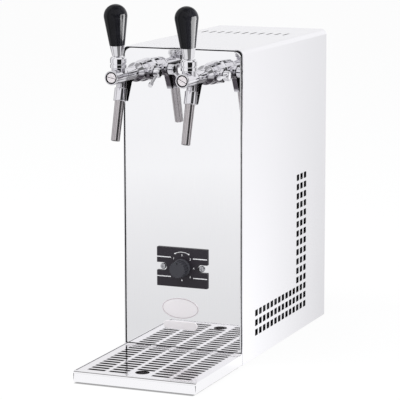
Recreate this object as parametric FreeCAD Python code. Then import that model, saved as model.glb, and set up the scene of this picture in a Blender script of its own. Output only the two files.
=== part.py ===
import FreeCAD, Part
import math
import os

# Portable two-tap beer cooler, in millimetres.
# X runs to the right, Y to the back and Z up.
# The origin is on the floor, under the middle of the front panel's face.

V = FreeCAD.Vector
X_AXIS = V(1, 0, 0)
Y_AXIS = V(0, 1, 0)
Z_AXIS = V(0, 0, 1)

# Casing
CASE_WIDTH = 175.0
CASE_HEIGHT = 429.5
CASE_DEPTH = 336.0
COVER_SHEET = 1.0
COVER_CORNER_R = 8.0
COVER_FLOOR_GAP = 1.0
COVER_REAR_FLANGE = 12.0
PANEL_SHEET = 1.5
PANEL_GAP = 1.1
PANEL_CORNER_R = 10.5
PANEL_EDGE_R = 2.0
PANEL_FLANGE_DEPTH = 12.5
PANEL_BOTTOM = 18.4
PANEL_FLANGE_BOTTOM = 26.0
SEAL_SETBACK = 1.2
SEAL_DEPTH = 9.0
SEAL_CORNER_CLEARANCE = 0.3
FOOT_SEAL_BOTTOM = 12.0
FOOT_SEAL_SETBACK = 0.3
REAR_SHEET = 1.0
REAR_INSET = 1.0
REAR_BOTTOM = 3.0
REAR_LOW_R = 2.0

# Side and top vents
SIDE_VENT_Y = 10.3
SIDE_VENT_Z = 9.0
SIDE_VENT_R = 1.2
SIDE_VENT_PITCH_Y = 14.9
SIDE_VENT_PITCH_Z = 13.6
SIDE_VENT_FIRST_Y = 52.3
SIDE_VENT_FIRST_Z = 36.0
SIDE_VENT_COLUMNS = 14
SIDE_VENT_ROWS = 15
SIDE_VENT_LOW_ROWS = 3
SIDE_VENT_TALL_COLUMNS = 3
TOP_SLOT_LENGTH = 26.0
TOP_SLOT_WIDTH = 3.0
TOP_SLOT_PITCH = 12.5
TOP_SLOT_COUNT = 11
TOP_SLOT_Y = 231.0

# Floor pan, feet and inner frame
PAN_SHEET = 1.5
FOOT_HEIGHT = 4.0
FOOT_R = 11.0
FOOT_X = 66.0
FOOT_FRONT_Y = 66.0
FOOT_REAR_INSET = 30.0
PAN_FLANGE_HEIGHT = 20.0
PAN_SIDE_FLANGE_START = 17.0
FRAME_SHEET = 1.5
SHELF_Z = 234.0
SHELF_FRONT_Y = 34.0
SHELF_REAR_GAP = 35.0
SHELF_HOLE_CLEARANCE = 0.5
LEG_FRONT_Y = 34.0
LEG_REAR_INSET = 38.0
LEG_WIDTH_FRONT = 11.0
LEG_WIDTH_REAR = 18.0

# Drip tray and grid
TRAY_DEPTH = 163.3
TRAY_HEIGHT = 16.0
TRAY_SHEET = 1.2
TRAY_PANEL_GAP = 0.5
TRAY_EDGE_R = 3.5
TRAY_RIM = 4.2
TRAY_HEM = 5.0
TRAY_TOP_EDGE_R = 3.4
TRAY_REAR_RISE = 1.4
TONGUE_X = 58.0
TONGUE_WIDTH = 16.0
TONGUE_LENGTH = 42.0
GUIDE_SHEET = 1.2
GUIDE_CLEARANCE = 0.3
GUIDE_FLOOR_GAP = 0.6
GRID_SHEET = 1.2
GRID_CLEARANCE = 0.6
GRID_TOP_BELOW_RIM = 0.6
GRID_LEG_INSET = 4.0
GRID_SLOT_LENGTH = 24.0
GRID_SLOT_WIDTH = 5.6
GRID_SLOT_COLUMNS = 5
GRID_SLOT_ROWS = 13
GRID_COLUMN_PITCH = 30.6
GRID_ROW_PITCH = 11.54
GRID_FIRST_ROW_Y = -7.0
FINGER_HOLE_R = 9.6
FINGER_HOLE_Y = -135.8

# Control plate, knob and thermostat
DIAL_Z = 130.0
PLATE_WIDTH = 74.0
PLATE_HEIGHT = 54.0
PLATE_THICKNESS = 3.0
PLATE_CORNER_R = 0.6
NOTCH_DEPTH = 14.5
NOTCH_HEIGHT = 11.0
CONTROL_SCREW_X = 28.4
CONTROL_SCREW_R = 1.7
CONTROL_SCREW_HEAD_R = 4.2
CONTROL_SCREW_HEAD = 2.6
CONTROL_SCREW_LENGTH = 9.0
SCREW_CLEARANCE = 0.2
SCREW_HEAD_ROUND = 0.6
SCREW_CROSS = 0.55
BUSH_R = 4.4
BUSH_CLEARANCE = 0.1
SHAFT_R = 3.0
SHAFT_CLEARANCE = 0.05
SHAFT_FLAT = 2.3
KNOB_GAP = 0.6
KNOB_SKIRT_R = 12.6
KNOB_SKIRT = 3.0
KNOB_R = 11.4
KNOB_LENGTH = 17.0
KNOB_FLUTES = 18
KNOB_FLUTE_R = 0.9
KNOB_EDGE = 1.0
KNOB_BORE_DEPTH = 12.0
THERMOSTAT_WIDTH = 40.0
THERMOSTAT_HEIGHT = 34.0
THERMOSTAT_DEPTH = 34.0
THERMOSTAT_SHAFT_TAIL = 6.0
SHAFT_END_GAP = 0.4
STRAP_SHEET = 2.5
STRAP_HEIGHT = 16.0
STRAP_END = 5.0
BULB_OUTLET_R = 4.0
BULB_OUTLET = 4.0
BULB_OUTLET_Z = 8.0

# Badges
BADGE_X = -3.5
OVAL_WIDTH = 54.0
OVAL_HEIGHT = 29.0
OVAL_Z = 72.7
SMALL_BADGE_WIDTH = 50.0
SMALL_BADGE_HEIGHT = 11.0
SMALL_BADGE_Z = 48.9
BADGE_THICKNESS = 1.0
BADGE_EDGE = 0.3

# Taps
TAP_X = 50.0
TAP_BELOW_TOP = 30.5
HEAD_FRONT_Y = -117.4
HEAD_REAR_Y = -84.0
HEAD_R = 9.5
HEAD_TAPER = 4.0
NECK_BLEND = 2.0
BARREL_BLEND = 4.0
NECK_R = 8.7
NECK_REAR_Y = -49.0
BARREL_FRONT_Y = -41.0
COLLAR_R = 13.2
COLLAR_REAR_Y = -20.0
COLLAR_GROOVE_Y = -35.0
COLLAR_GROOVE_WIDTH = 1.4
COLLAR_GROOVE_DEPTH = 0.8
BARREL_R = 14.6
ROSETTE_DEPTH = 5.0
ROSETTE_R = 15.8
ROSETTE_FRONT_R = 15.0
TAP_EDGE = 1.0
PLUG_BORE_R = 8.0
PLUG_BORE_DEPTH = 9.0
PLUG_DISC_R = 6.3
PLUG_DISC_LENGTH = 3.5
PLUG_SETBACK = 0.4
PLUG_CLEARANCE = 0.05
PLUG_SLOT_WIDTH = 0.8
PLUG_SLOT_DEPTH = 0.5
LEFT_PLUG_TURN = 12.0
RIGHT_PLUG_TURN = 27.0
PISTON_R = 5.0
PISTON_CLEARANCE = 0.05
PISTON_LENGTH = 17.0
PISTON_WALL = 1.5
PISTON_BORE_REAR_Y = -72.0
ROD_R = 2.0
ROD_BORE_R = 4.2
POPPET_R = 6.3
POPPET_THICKNESS = 2.6
POPPET_SEAT_GAP = 0.3
SEAT_Y = -45.0
CHAMBER_R = 9.0
CHAMBER_REAR_Y = -17.0
NUT_Y = -95.0
NUT_BASE_R = 8.8
NUT_R = 10.65
NUT_RISE = 11.0
NUT_GROOVE_DEPTH = 1.0
NUT_GROOVE_WIDTH = 1.6
NUT_EDGE = 0.8
PIVOT_HEIGHT = 17.8
BALL_R = 5.5
BALL_CLEARANCE = 0.08
SEAT_INSET = 0.1
SEAT_HEIGHT = 3.0
NUT_DOME_R = 12.0
FERRULE_GAP = 0.3
LEVER_NECK_R = 2.6
NUT_BORE_R = 6.4
NUT_BORE_BELOW_PIVOT = 1.0
LEVER_LEAN = 6.4
POUR_ANGLE = 26.0
LEVER_SWING_ROOM = 3.0
TAIL_LENGTH = 16.5
TAIL_R = 1.4
TAIL_TIP_R = 2.2
TAIL_PLAY = 0.35
SLOT_ROOM = 0.5
SLOT_REAR_WALL = 2.2
FERRULE_BOTTOM_R = 7.3
FERRULE_TOP_R = 10.1
FERRULE_TOP = 23.6
STEM_R = 4.0
STEM_LENGTH = 24.0
STEM_CLEARANCE = 0.05
STEM_END_GAP = 0.5
GRIP_TOP = 77.5
GRIP_R = 15.5
SPOUT_LEAN = 15.8
SPOUT_AXIS_Y = -82.2
SOCKET_NECK_R = 6.6
SOCKET_R = 8.4
SOCKET_START = 17.0
SOCKET_END = 34.5
SPOUT_START = 21.0
SPOUT_END = 87.0
SPOUT_R = 6.4
SPOUT_TIP_R = 5.9
SPOUT_WALL = 1.2
SPOUT_CLEARANCE = 0.05
PORT_R = 2.8
PORT_TOP_Y = -76.0
WEB_THICKNESS = 7.0
WEB_ROOT = 2.0
WEB_CORNER_Y = -59.5
WEB_CORNER_DROP = 10.5
WEB_FILLET = 6.0
WEB_FOOT = 19.0
WEB_TIP = 2.0
SPINDLE_Y = -23.6
SPINDLE_DROP = 2.0
SPINDLE_R = 3.0
SPINDLE_CLEARANCE = 0.05
SPINDLE_BOSS_R = 8.6
SPINDLE_BOSS_X = 20.0
SPINDLE_NUT_ACROSS = 15.6
SPINDLE_NUT = 4.0
SPINDLE_INNER_X = 6.2
HUB_GAP = 0.3
HUB_R = 6.8
HUB_LENGTH = 8.5
ROD_LEVER_R = 2.1
ROD_LEVER_LENGTH = 29.0
ROD_LEVER_TIP_R = 3.0
ROD_LEVER_TIP = 5.0
CONE_SWEEP = 90.0
LEFT_COMP_ANGLE = 30.0
RIGHT_COMP_ANGLE = 0.0
CRANK_R = 1.8
CRANK_PIN_R = 1.1
CRANK_PIN_LENGTH = 3.0
CRANK_PLAY = 0.25
CONE_R = 8.6
CONE_TIP_R = 4.0
CONE_TAPER = 4.5
CONE_BODY = 8.0
CONE_FLAT = 6.6
CONE_ROOT_R = 5.8
CONE_SLOT_TOP = 1.5
SHANK_R = 8.0
SHANK_CLEARANCE = 0.05
SHANK_BORE_R = 4.2
SHANK_FRONT_Y = -15.0
SHANK_REAR_Y = 27.0
SHANK_NUT_ACROSS = 24.0
SHANK_NUT = 7.0
SHANK_WASHER_R = 14.5
SHANK_WASHER = 1.5

# Refrigeration and the cold block
COMPRESSOR_TO_SHROUD = 86.0
COMPRESSOR_R = 60.0
COMPRESSOR_SIDE_TOP = 105.0
COMPRESSOR_DOME = 45.0
COMPRESSOR_BOTTOM = 18.0
COMPRESSOR_EDGE = 14.0
TERMINAL_HALF = 18.0
TERMINAL_OUT = 5.0
TERMINAL_Z = 48.0
TERMINAL_HEIGHT = 40.0
STUB_R = 4.5
STUB_SINK = 8.0
STUB_OUT = 8.0
WELD_Z = 80.0
WELD_HEIGHT = 3.6
WELD_RING_R = 61.8
SADDLE_R = 36.0
PLATE_SHEET = 2.5
GROMMET_R = 8.0
GROMMET_HEIGHT = 5.0
GROMMET_NECK_R = 5.0
GROMMET_NECK_CLEARANCE = 0.3
GROMMET_HEAD_R = 7.0
GROMMET_TOP = 2.5
GROMMET_X = 62.0
GROMMET_PITCH_Y = 118.0
CONDENSER_REAR_GAP = 13.0
CONDENSER_DEPTH = 36.0
CONDENSER_HALF = 61.0
CONDENSER_BOTTOM = 34.0
CONDENSER_BELOW_FITTINGS = 14.0
TUBE_INSET_Z = 11.0
END_PLATE = 1.5
FIN_COUNT = 24
FIN_THICKNESS = 0.8
TUBE_ROWS = 8
TUBE_R = 3.5
PORT_X = 71.0
PORT_SETBACK = 3.0
SHROUD_DEPTH = 22.0
SHROUD_INSET_Z = 4.0
SHROUD_SHEET = 2.0
ARM_WIDTH = 6.0
ARM_LAP = 2.0
ARM_COUNT = 3
FAN_Z = 120.0
FAN_R = 54.0
FAN_TIP_GAP = 3.0
FAN_SETBACK = 3.0
FAN_DEPTH = 13.0
FAN_BLADES = 5
FAN_BLADE_SHEET = 2.0
FAN_BLADE_PITCH = 32.0
FAN_CHORD = 22.0
FAN_HUB_R = 13.0
MOTOR_R = 20.0
MOTOR_LENGTH = 20.0
MOTOR_EDGE = 2.0
MOTOR_SHAFT_R = 2.5
MOTOR_CLEARANCE = 0.1
MOTOR_RING = 9.0
MOTOR_PIN = 9.0
DRIER_X = 58.0
DRIER_TO_SHROUD = 24.0
DRIER_BOTTOM = 98.0
DRIER_TOP = 178.0
DRIER_R = 9.0
DRIER_CONE = 9.0
LINE_R = 3.0
LINE_BORE_R = 2.2
BLOCK_HALF = 48.0
FOAM_END_WALL = 26.0
FOAM_FLOOR = 26.5
FOAM_ROOF = 24.0
FOAM_HALF = 72.0
FOAM_FRONT_Y = 66.0
FOAM_REAR_INSET = 4.0
FOAM_TOP_GAP = 15.0
FOAM_HOLE_CLEARANCE = 0.3
SUCTION_X = -45.0
SUCTION_BEHIND = 26.0
LIQUID_X = 45.0
LIQUID_BEND = 20.0
DISCHARGE_X = 45.0
DISCHARGE_AHEAD = 28.0
DISCHARGE_RISE = 28.0
DISCHARGE_RUN = 42.0
BULB_X = 12.0
BULB_Z = 300.0
BULB_R = 3.5
BULB_LENGTH = 38.0
BULB_START = 4.0
BULB_CLEARANCE = 0.2
CAPILLARY_R = 1.2
CAPILLARY_OUT = 14.0

# Beer lines, air pump and rear fittings
BEER_TUBE_R = 4.0
BEER_TUBE_BORE_R = 3.2
OUTLET_X = 38.0
OUTLET_BELOW_TOP = 22.0
OUTLET_FIRST_Y = 42.0
OUTLET_SECOND_Y = 58.0
INLET_X = 30.0
INLET_Z = 300.0
STEM_TUBE_R = 4.75
STEM_TUBE_BORE_R = 3.5
STEM_OUT = 24.0
STEM_IN = 14.0
STEM_HEX = 17.0
STEM_HEX_THICKNESS = 5.0
STEM_NUT = 4.0
REAR_HOLE_CLEARANCE = 0.25
SERVICE_BELOW_SHELF = 14.0
AIR_X = -52.0
INLET_SOCKET_X = 49.0
SOCKET_BODY_X = 27.0
SOCKET_BODY_Z = 19.0
SOCKET_FLANGE = 3.5
SOCKET_CORNER_R = 2.0
SOCKET_FLANGE_THICKNESS = 2.0
SOCKET_WALL = 2.0
SOCKET_CAVITY = 15.0
SOCKET_BODY_DEPTH = 20.0
BLADE_X = 2.0
BLADE_Z = 4.0
BLADE_PITCH = 7.0
BLADE_OUT = 9.0
BLADE_RAISE = 2.5
SWITCH_X = 20.0
SWITCH_Z = 14.0
SWITCH_WALL = 1.6
SWITCH_FLANGE = 1.6
SWITCH_FLANGE_THICKNESS = 1.5
SWITCH_DEPTH = 18.0
ROCKER_CLEARANCE = 0.4
ROCKER_SWING_ROOM = 1.2
ROCKER_BACK = 4.0
ROCKER_FACE = 5.2
ROCKER_EDGE = 2.0
ROCKER_EDGE_R = 0.5
ROCKER_DISH = 1.5
ROCKER_TILT = 9.0
ROCKER_DISH_R = 8.0
ROCKER_PIN_R = 1.2
ROCKER_PIN_CLEARANCE = 0.05
ROCKER_PIVOT_IN = 3.5
REAR_SCREW_X = 80.5
REAR_SCREW_END = 32.0
REAR_SCREW_R = 1.9
REAR_SCREW_HEAD_R = 3.6
REAR_SCREW_HEAD = 2.2
REAR_SCREW_LENGTH = 8.0
GRILLE_SLOT_LENGTH = 52.0
GRILLE_SLOT_WIDTH = 5.0
GRILLE_SLOT_X = 31.0
GRILLE_PITCH = 10.5
GRILLE_ROWS = 15
GRILLE_FIRST_Z = 44.0
PUMP_X = -44.0
PUMP_TO_COMPRESSOR = 104.0
PUMP_WIDTH = 58.0
PUMP_DEPTH = 68.0
PUMP_BASE = 4.0
PUMP_MOTOR_R = 23.0
PUMP_HEAD = 18.0
PUMP_STEP = 4.0
PUMP_TOP = 58.0
PUMP_OUTLET = 12.0
HOSE_R = 4.0
HOSE_BORE_R = 2.6
HOSE_SIDE_X = -70.0
HOSE_RISE = 45.0
HOSE_RUN = 37.0
HOSE_TURN_AHEAD = 55.0
HOSE_DROP = 7.0

# Sizes worked out from the ones above
HALF_WIDTH = CASE_WIDTH / 2
COVER_INNER_HALF = HALF_WIDTH - COVER_SHEET
COVER_INNER_TOP = CASE_HEIGHT - COVER_SHEET
PANEL_HALF = COVER_INNER_HALF - PANEL_GAP
PANEL_TOP = COVER_INNER_TOP - PANEL_GAP
REAR_FACE_Y = CASE_DEPTH
REAR_INNER_Y = CASE_DEPTH - REAR_SHEET
COVER_REAR_Y = REAR_INNER_Y
COVER_FLANGE_Y = COVER_REAR_Y - COVER_SHEET
PAN_TOP = FOOT_HEIGHT + PAN_SHEET
SHELF_TOP = SHELF_Z + FRAME_SHEET
PLATE_FACE_Y = -PLATE_THICKNESS
TAP_Z = CASE_HEIGHT - TAP_BELOW_TOP
NUT_BOTTOM_Z = TAP_Z + NUT_RISE
WEB_CORNER_Z = TAP_Z - WEB_CORNER_DROP
PIVOT_Z = TAP_Z + PIVOT_HEIGHT
SPINDLE_Z = TAP_Z - SPINDLE_DROP
CAPILLARY_Y = PANEL_SHEET + THERMOSTAT_DEPTH + CAPILLARY_OUT
FOOT_REAR_Y = CASE_DEPTH - FOOT_REAR_INSET
SHELF_REAR_Y = REAR_INNER_Y - SHELF_REAR_GAP
LEG_REAR_Y = SHELF_REAR_Y - LEG_REAR_INSET
SERVICE_Z = SHELF_Z - SERVICE_BELOW_SHELF
CONDENSER_FRONT_Y = REAR_INNER_Y - CONDENSER_REAR_GAP - CONDENSER_DEPTH
CONDENSER_TOP = SERVICE_Z - CONDENSER_BELOW_FITTINGS
CONDENSER_TUBE_BOTTOM = CONDENSER_BOTTOM + TUBE_INSET_Z
CONDENSER_TUBE_TOP = CONDENSER_TOP - TUBE_INSET_Z
PORT_FRONT_Y = CONDENSER_FRONT_Y + PORT_SETBACK
SHROUD_FRONT_Y = CONDENSER_FRONT_Y - SHROUD_DEPTH
SHROUD_BOTTOM = CONDENSER_BOTTOM + SHROUD_INSET_Z
SHROUD_TOP = CONDENSER_TOP - SHROUD_INSET_Z
FAN_FRONT_Y = SHROUD_FRONT_Y + FAN_SETBACK
DRIER_Y = SHROUD_FRONT_Y - DRIER_TO_SHROUD
COMPRESSOR_Y = SHROUD_FRONT_Y - COMPRESSOR_TO_SHROUD
SUCTION_Y = COMPRESSOR_Y + SUCTION_BEHIND
DISCHARGE_Y = COMPRESSOR_Y - DISCHARGE_AHEAD
PUMP_Y = COMPRESSOR_Y - PUMP_TO_COMPRESSOR
HOSE_TURN_Y = PORT_FRONT_Y - HOSE_TURN_AHEAD
FOAM_REAR_Y = SHELF_REAR_Y - FOAM_REAR_INSET
FOAM_TOP = COVER_INNER_TOP - FOAM_TOP_GAP
BLOCK_FRONT_Y = FOAM_FRONT_Y + FOAM_END_WALL
BLOCK_REAR_Y = FOAM_REAR_Y - FOAM_END_WALL
BLOCK_BOTTOM = SHELF_TOP + FOAM_FLOOR
BLOCK_TOP = FOAM_TOP - FOAM_ROOF
OUTLET_Z = BLOCK_TOP - OUTLET_BELOW_TOP
SHANK_HOLE_R = SHANK_R + REAR_HOLE_CLEARANCE
BARREL_REAR_Y = -ROSETTE_DEPTH


def save(name, shape):
    """Write one sub-part and print how many solids it holds."""
    print(name, len(shape.Solids), "solids", round(shape.Volume, 1), "mm3")
    shape.exportStep("parts/" + name + ".step")


def box(x0, x1, y0, y1, z0, z1):
    return Part.makeBox(x1 - x0, y1 - y0, z1 - z0, V(x0, y0, z0))


def rod(radius, start, end):
    """Cylinder from one point to another."""
    along = end - start
    return Part.makeCylinder(radius, along.Length, start, along)


def tapered(radius_start, radius_end, start, end):
    """Cone or cylinder from one point to another."""
    if abs(radius_start - radius_end) < 1e-6:
        return rod(radius_start, start, end)
    along = end - start
    return Part.makeCone(radius_start, radius_end, along.Length, start, along)


def group(shapes):
    return Part.makeCompound(shapes)


def fuse(shapes):
    return shapes[0].multiFuse(shapes[1:]).removeSplitter()


def rounded_edges(points, radii, closed):
    """Straight edges with a tangent arc at each corner that has a radius."""
    count = len(points)
    starts = []
    ends = []
    middles = []
    for i, corner in enumerate(points):
        radius = radii[i]
        if radius <= 0 or (not closed and i in (0, count - 1)):
            starts.append(corner)
            ends.append(corner)
            middles.append(None)
            continue
        before = (points[i - 1] - corner).normalize()
        after = (points[(i + 1) % count] - corner).normalize()
        half = before.getAngle(after) / 2
        reach = radius / math.tan(half)
        inward = (before + after).normalize()
        starts.append(corner + before * reach)
        ends.append(corner + after * reach)
        middles.append(corner + inward * (radius / math.sin(half) - radius))
    edges = []
    last = count if closed else count - 1
    for i in range(count):
        if middles[i] is not None:
            edges.append(Part.Arc(starts[i], middles[i], ends[i]).toShape())
        if i < last:
            following = starts[(i + 1) % count]
            if (following - ends[i]).Length > 1e-6:
                edges.append(Part.LineSegment(ends[i], following).toShape())
    return edges


def rounded_face(points, radii):
    return Part.Face(Part.Wire(rounded_edges(points, radii, True)))


def corners_xz(x0, x1, z0, z1, y):
    return [V(x0, y, z0), V(x1, y, z0), V(x1, y, z1), V(x0, y, z1)]


def prism_y(x0, x1, z0, z1, radii, y0, y1):
    """Rounded rectangle in X and Z, carried along Y."""
    return rounded_face(corners_xz(x0, x1, z0, z1, y0), radii).extrude(V(0, y1 - y0, 0))


def slot_z(x, y, length, width, z0, z1):
    """Slot along X with round ends, cut along Z."""
    half = length / 2
    r = width / 2
    points = [V(x - half, y - r, z0), V(x + half, y - r, z0), V(x + half, y + r, z0), V(x - half, y + r, z0)]
    return rounded_face(points, [r * 0.999] * 4).extrude(V(0, 0, z1 - z0))


def turned(profile, radii, origin, axis, across):
    """Solid of revolution. Each profile point is a radius and a height along the axis."""
    points = [origin + across * r + axis * h for r, h in profile]
    return rounded_face(points, radii).revolve(origin, axis, 360)


def hexagon(across_flats, start, end):
    """Hexagonal bar along X or Y, with a corner on top."""
    corner = across_flats / math.sqrt(3)
    across = (end - start).cross(Z_AXIS).normalize()
    points = []
    for i in range(6):
        angle = math.radians(60 * i + 30)
        points.append(start + across * (corner * math.cos(angle)) + Z_AXIS * (corner * math.sin(angle)))
    return Part.Face(Part.makePolygon(points + [points[0]])).extrude(end - start)


def pipe(name, points, outer, bore):
    """Tube along straight runs joined by tangent arcs, as large as the runs allow."""
    radii = [0.0]
    for i in range(1, len(points) - 1):
        before = points[i - 1] - points[i]
        after = points[i + 1] - points[i]
        turn = math.pi - before.getAngle(after)
        radii.append(0.45 * min(before.Length, after.Length) / math.tan(turn / 2))
    radii.append(0.0)
    path = Part.Wire(rounded_edges(points, radii, False))
    solids = []
    start = points[0]
    along = points[1] - points[0]
    for radius in (outer, bore):
        if radius > 0:
            ring = Part.Wire(Part.makeCircle(radius, start, along))
            solids.append(path.makePipeShell([ring], True, False))
    expected = math.pi * (outer ** 2) * path.Length
    print(name, "bend radii", [round(r, 1) for r in radii[1:-1]],
          "length", round(path.Length, 1), "volume ratio", round(solids[0].Volume / expected, 4))
    return solids[0].cut(solids[1]) if bore > 0 else solids[0]


def side_vents():
    """Cutters for the vents of both side walls: low rows all along, tall columns at the back."""
    cutters = []
    for column in range(SIDE_VENT_COLUMNS):
        tall = column >= SIDE_VENT_COLUMNS - SIDE_VENT_TALL_COLUMNS
        for row in range(SIDE_VENT_ROWS if tall else SIDE_VENT_LOW_ROWS):
            y = SIDE_VENT_FIRST_Y + column * SIDE_VENT_PITCH_Y
            z = SIDE_VENT_FIRST_Z + row * SIDE_VENT_PITCH_Z
            y0 = y - SIDE_VENT_Y / 2
            y1 = y + SIDE_VENT_Y / 2
            z0 = z - SIDE_VENT_Z / 2
            z1 = z + SIDE_VENT_Z / 2
            r = SIDE_VENT_R
            outline = [(y0, z0, r), (y1, z0, r), (y1, z1, r), (y0, z1, r)]
            cutters.append(prism_x(outline, HALF_WIDTH + 1))
    return cutters


def top_slots():
    cutters = []
    first = -TOP_SLOT_PITCH * (TOP_SLOT_COUNT - 1) / 2
    for i in range(TOP_SLOT_COUNT):
        slot = slot_z(0, 0, TOP_SLOT_LENGTH, TOP_SLOT_WIDTH, COVER_INNER_TOP - 2, CASE_HEIGHT + 2)
        slot.rotate(V(0, 0, 0), Z_AXIS, 90)
        slot.translate(V(first + i * TOP_SLOT_PITCH, TOP_SLOT_Y, 0))
        cutters.append(slot)
    return cutters


def rear_screw_places():
    for x in (-REAR_SCREW_X, REAR_SCREW_X):
        for z in (REAR_SCREW_END, CASE_HEIGHT / 2, CASE_HEIGHT - REAR_SCREW_END):
            yield x, z


def make_cover():
    r_in = COVER_CORNER_R - COVER_SHEET
    outer = prism_y(-HALF_WIDTH, HALF_WIDTH, COVER_FLOOR_GAP, CASE_HEIGHT,
                    [0, 0, COVER_CORNER_R, COVER_CORNER_R], 0, COVER_REAR_Y)
    inner = prism_y(-COVER_INNER_HALF, COVER_INNER_HALF, COVER_FLOOR_GAP - 1, COVER_INNER_TOP,
                    [0, 0, r_in, r_in], -1, COVER_FLANGE_Y)
    window_half = COVER_INNER_HALF - COVER_REAR_FLANGE
    window = box(-window_half, window_half, COVER_FLANGE_Y - 1, COVER_REAR_Y + 1,
                 COVER_FLOOR_GAP - 1, COVER_INNER_TOP - COVER_REAR_FLANGE)
    holes = [rod(REAR_SCREW_R + SCREW_CLEARANCE, V(x, COVER_FLANGE_Y - 1, z), V(x, COVER_REAR_Y + 1, z))
             for x, z in rear_screw_places()]
    cover = outer.cut(inner).cut(window)
    return cover.cut(group(side_vents() + top_slots() + holes))


def make_front_panel():
    outer = prism_y(-PANEL_HALF, PANEL_HALF, PANEL_BOTTOM, PANEL_TOP,
                    [0, 0, PANEL_CORNER_R, PANEL_CORNER_R], 0, PANEL_SHEET + PANEL_FLANGE_DEPTH)
    bend = [e for e in outer.Edges if abs(e.BoundBox.YMax) < 1e-6 and e.BoundBox.ZMax > PANEL_BOTTOM + 1]
    outer = outer.makeFillet(PANEL_EDGE_R, bend)
    inner_half = PANEL_HALF - PANEL_SHEET
    r_in = PANEL_CORNER_R - PANEL_SHEET
    inner = prism_y(-inner_half, inner_half, PANEL_BOTTOM - 1, PANEL_TOP - PANEL_SHEET,
                    [0, 0, r_in, r_in], PANEL_SHEET, PANEL_SHEET + PANEL_FLANGE_DEPTH + 1)
    low = box(-HALF_WIDTH, HALF_WIDTH, PANEL_SHEET, PANEL_SHEET + PANEL_FLANGE_DEPTH + 1,
              PANEL_BOTTOM - 1, PANEL_FLANGE_BOTTOM)
    cuts = [inner, low, rod(BUSH_R + BUSH_CLEARANCE, V(0, -1, DIAL_Z), V(0, PANEL_SHEET + 1, DIAL_Z))]
    for side in (-1, 1):
        x = side * TAP_X
        cuts.append(rod(SHANK_HOLE_R, V(x, -1, TAP_Z), V(x, PANEL_SHEET + 1, TAP_Z)))
        x = side * CONTROL_SCREW_X
        cuts.append(rod(CONTROL_SCREW_R + SCREW_CLEARANCE, V(x, -1, DIAL_Z), V(x, PANEL_SHEET + 1, DIAL_Z)))
    return outer.cut(group(cuts))


def make_edge_seal():
    """Strip round the front panel's flanges, and a strip under its foot."""
    r_out = COVER_CORNER_R - COVER_SHEET + SEAL_CORNER_CLEARANCE
    r_in = PANEL_CORNER_R - SEAL_CORNER_CLEARANCE
    y1 = SEAL_SETBACK + SEAL_DEPTH
    outer = prism_y(-COVER_INNER_HALF, COVER_INNER_HALF, PANEL_FLANGE_BOTTOM, COVER_INNER_TOP,
                    [0, 0, r_out, r_out], SEAL_SETBACK, y1)
    inner = prism_y(-PANEL_HALF, PANEL_HALF, PANEL_FLANGE_BOTTOM - 1, PANEL_TOP,
                    [0, 0, r_in, r_in], SEAL_SETBACK - 1, y1 + 1)
    foot = box(-PANEL_HALF, PANEL_HALF, FOOT_SEAL_SETBACK, PANEL_SHEET, FOOT_SEAL_BOTTOM, PANEL_BOTTOM)
    return group([outer.cut(inner), foot])


def make_base_pan():
    """Bent floor sheet with upright flanges, and guides for the tray's tongues under it."""
    front = PANEL_SHEET
    rear = COVER_FLANGE_Y
    half = COVER_INNER_HALF
    z1 = FOOT_HEIGHT + PAN_FLANGE_HEIGHT
    front_half = PANEL_HALF - PANEL_SHEET
    sheet = box(-front_half, front_half, front, PAN_SIDE_FLANGE_START, FOOT_HEIGHT, PAN_TOP)
    sheet = sheet.fuse(box(-half, half, PAN_SIDE_FLANGE_START, rear, FOOT_HEIGHT, PAN_TOP))
    pieces = [sheet, box(-front_half, front_half, front, front + PAN_SHEET, FOOT_HEIGHT, z1),
              box(-half, half, rear - PAN_SHEET, rear, FOOT_HEIGHT, z1)]
    for side in (-1, 1):
        x0, x1 = sorted((side * half, side * (half - PAN_SHEET)))
        pieces.append(box(x0, x1, PAN_SIDE_FLANGE_START, rear, FOOT_HEIGHT, z1))
        for edge in (-1, 1):
            near = side * TONGUE_X + edge * (TONGUE_WIDTH / 2 + GUIDE_CLEARANCE)
            x0, x1 = sorted((near, near + edge * GUIDE_SHEET))
            pieces.append(box(x0, x1, front + PAN_SHEET, TONGUE_LENGTH, GUIDE_FLOOR_GAP, FOOT_HEIGHT))
    return fuse(pieces)


def make_rear_panel():
    half = HALF_WIDTH - REAR_INSET
    r = COVER_CORNER_R - REAR_INSET
    plate = prism_y(-half, half, REAR_BOTTOM, CASE_HEIGHT - REAR_INSET, [REAR_LOW_R, REAR_LOW_R, r, r],
                    REAR_INNER_Y, REAR_FACE_Y)
    y0 = REAR_INNER_Y - 1
    y1 = REAR_FACE_Y + 1
    cuts = [rod(REAR_SCREW_R + SCREW_CLEARANCE, V(x, y0, z), V(x, y1, z)) for x, z in rear_screw_places()]
    for x, z in stem_places():
        cuts.append(rod(STEM_TUBE_R + REAR_HOLE_CLEARANCE, V(x, y0, z), V(x, y1, z)))
    cuts.append(box(INLET_SOCKET_X - SOCKET_BODY_X / 2, INLET_SOCKET_X + SOCKET_BODY_X / 2, y0, y1,
                    SERVICE_Z - SOCKET_BODY_Z / 2, SERVICE_Z + SOCKET_BODY_Z / 2))
    cuts.append(box(-SWITCH_X / 2, SWITCH_X / 2, y0, y1, SERVICE_Z - SWITCH_Z / 2, SERVICE_Z + SWITCH_Z / 2))
    for row in range(GRILLE_ROWS):
        for side in (-1, 1):
            slot = slot_z(0, 0, GRILLE_SLOT_LENGTH, GRILLE_SLOT_WIDTH, 0, REAR_SHEET + 2)
            slot.rotate(V(0, 0, 0), X_AXIS, 90)
            slot.translate(V(side * GRILLE_SLOT_X, y1, GRILLE_FIRST_Z + row * GRILLE_PITCH))
            cuts.append(slot)
    return plate.cut(group(cuts))


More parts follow.
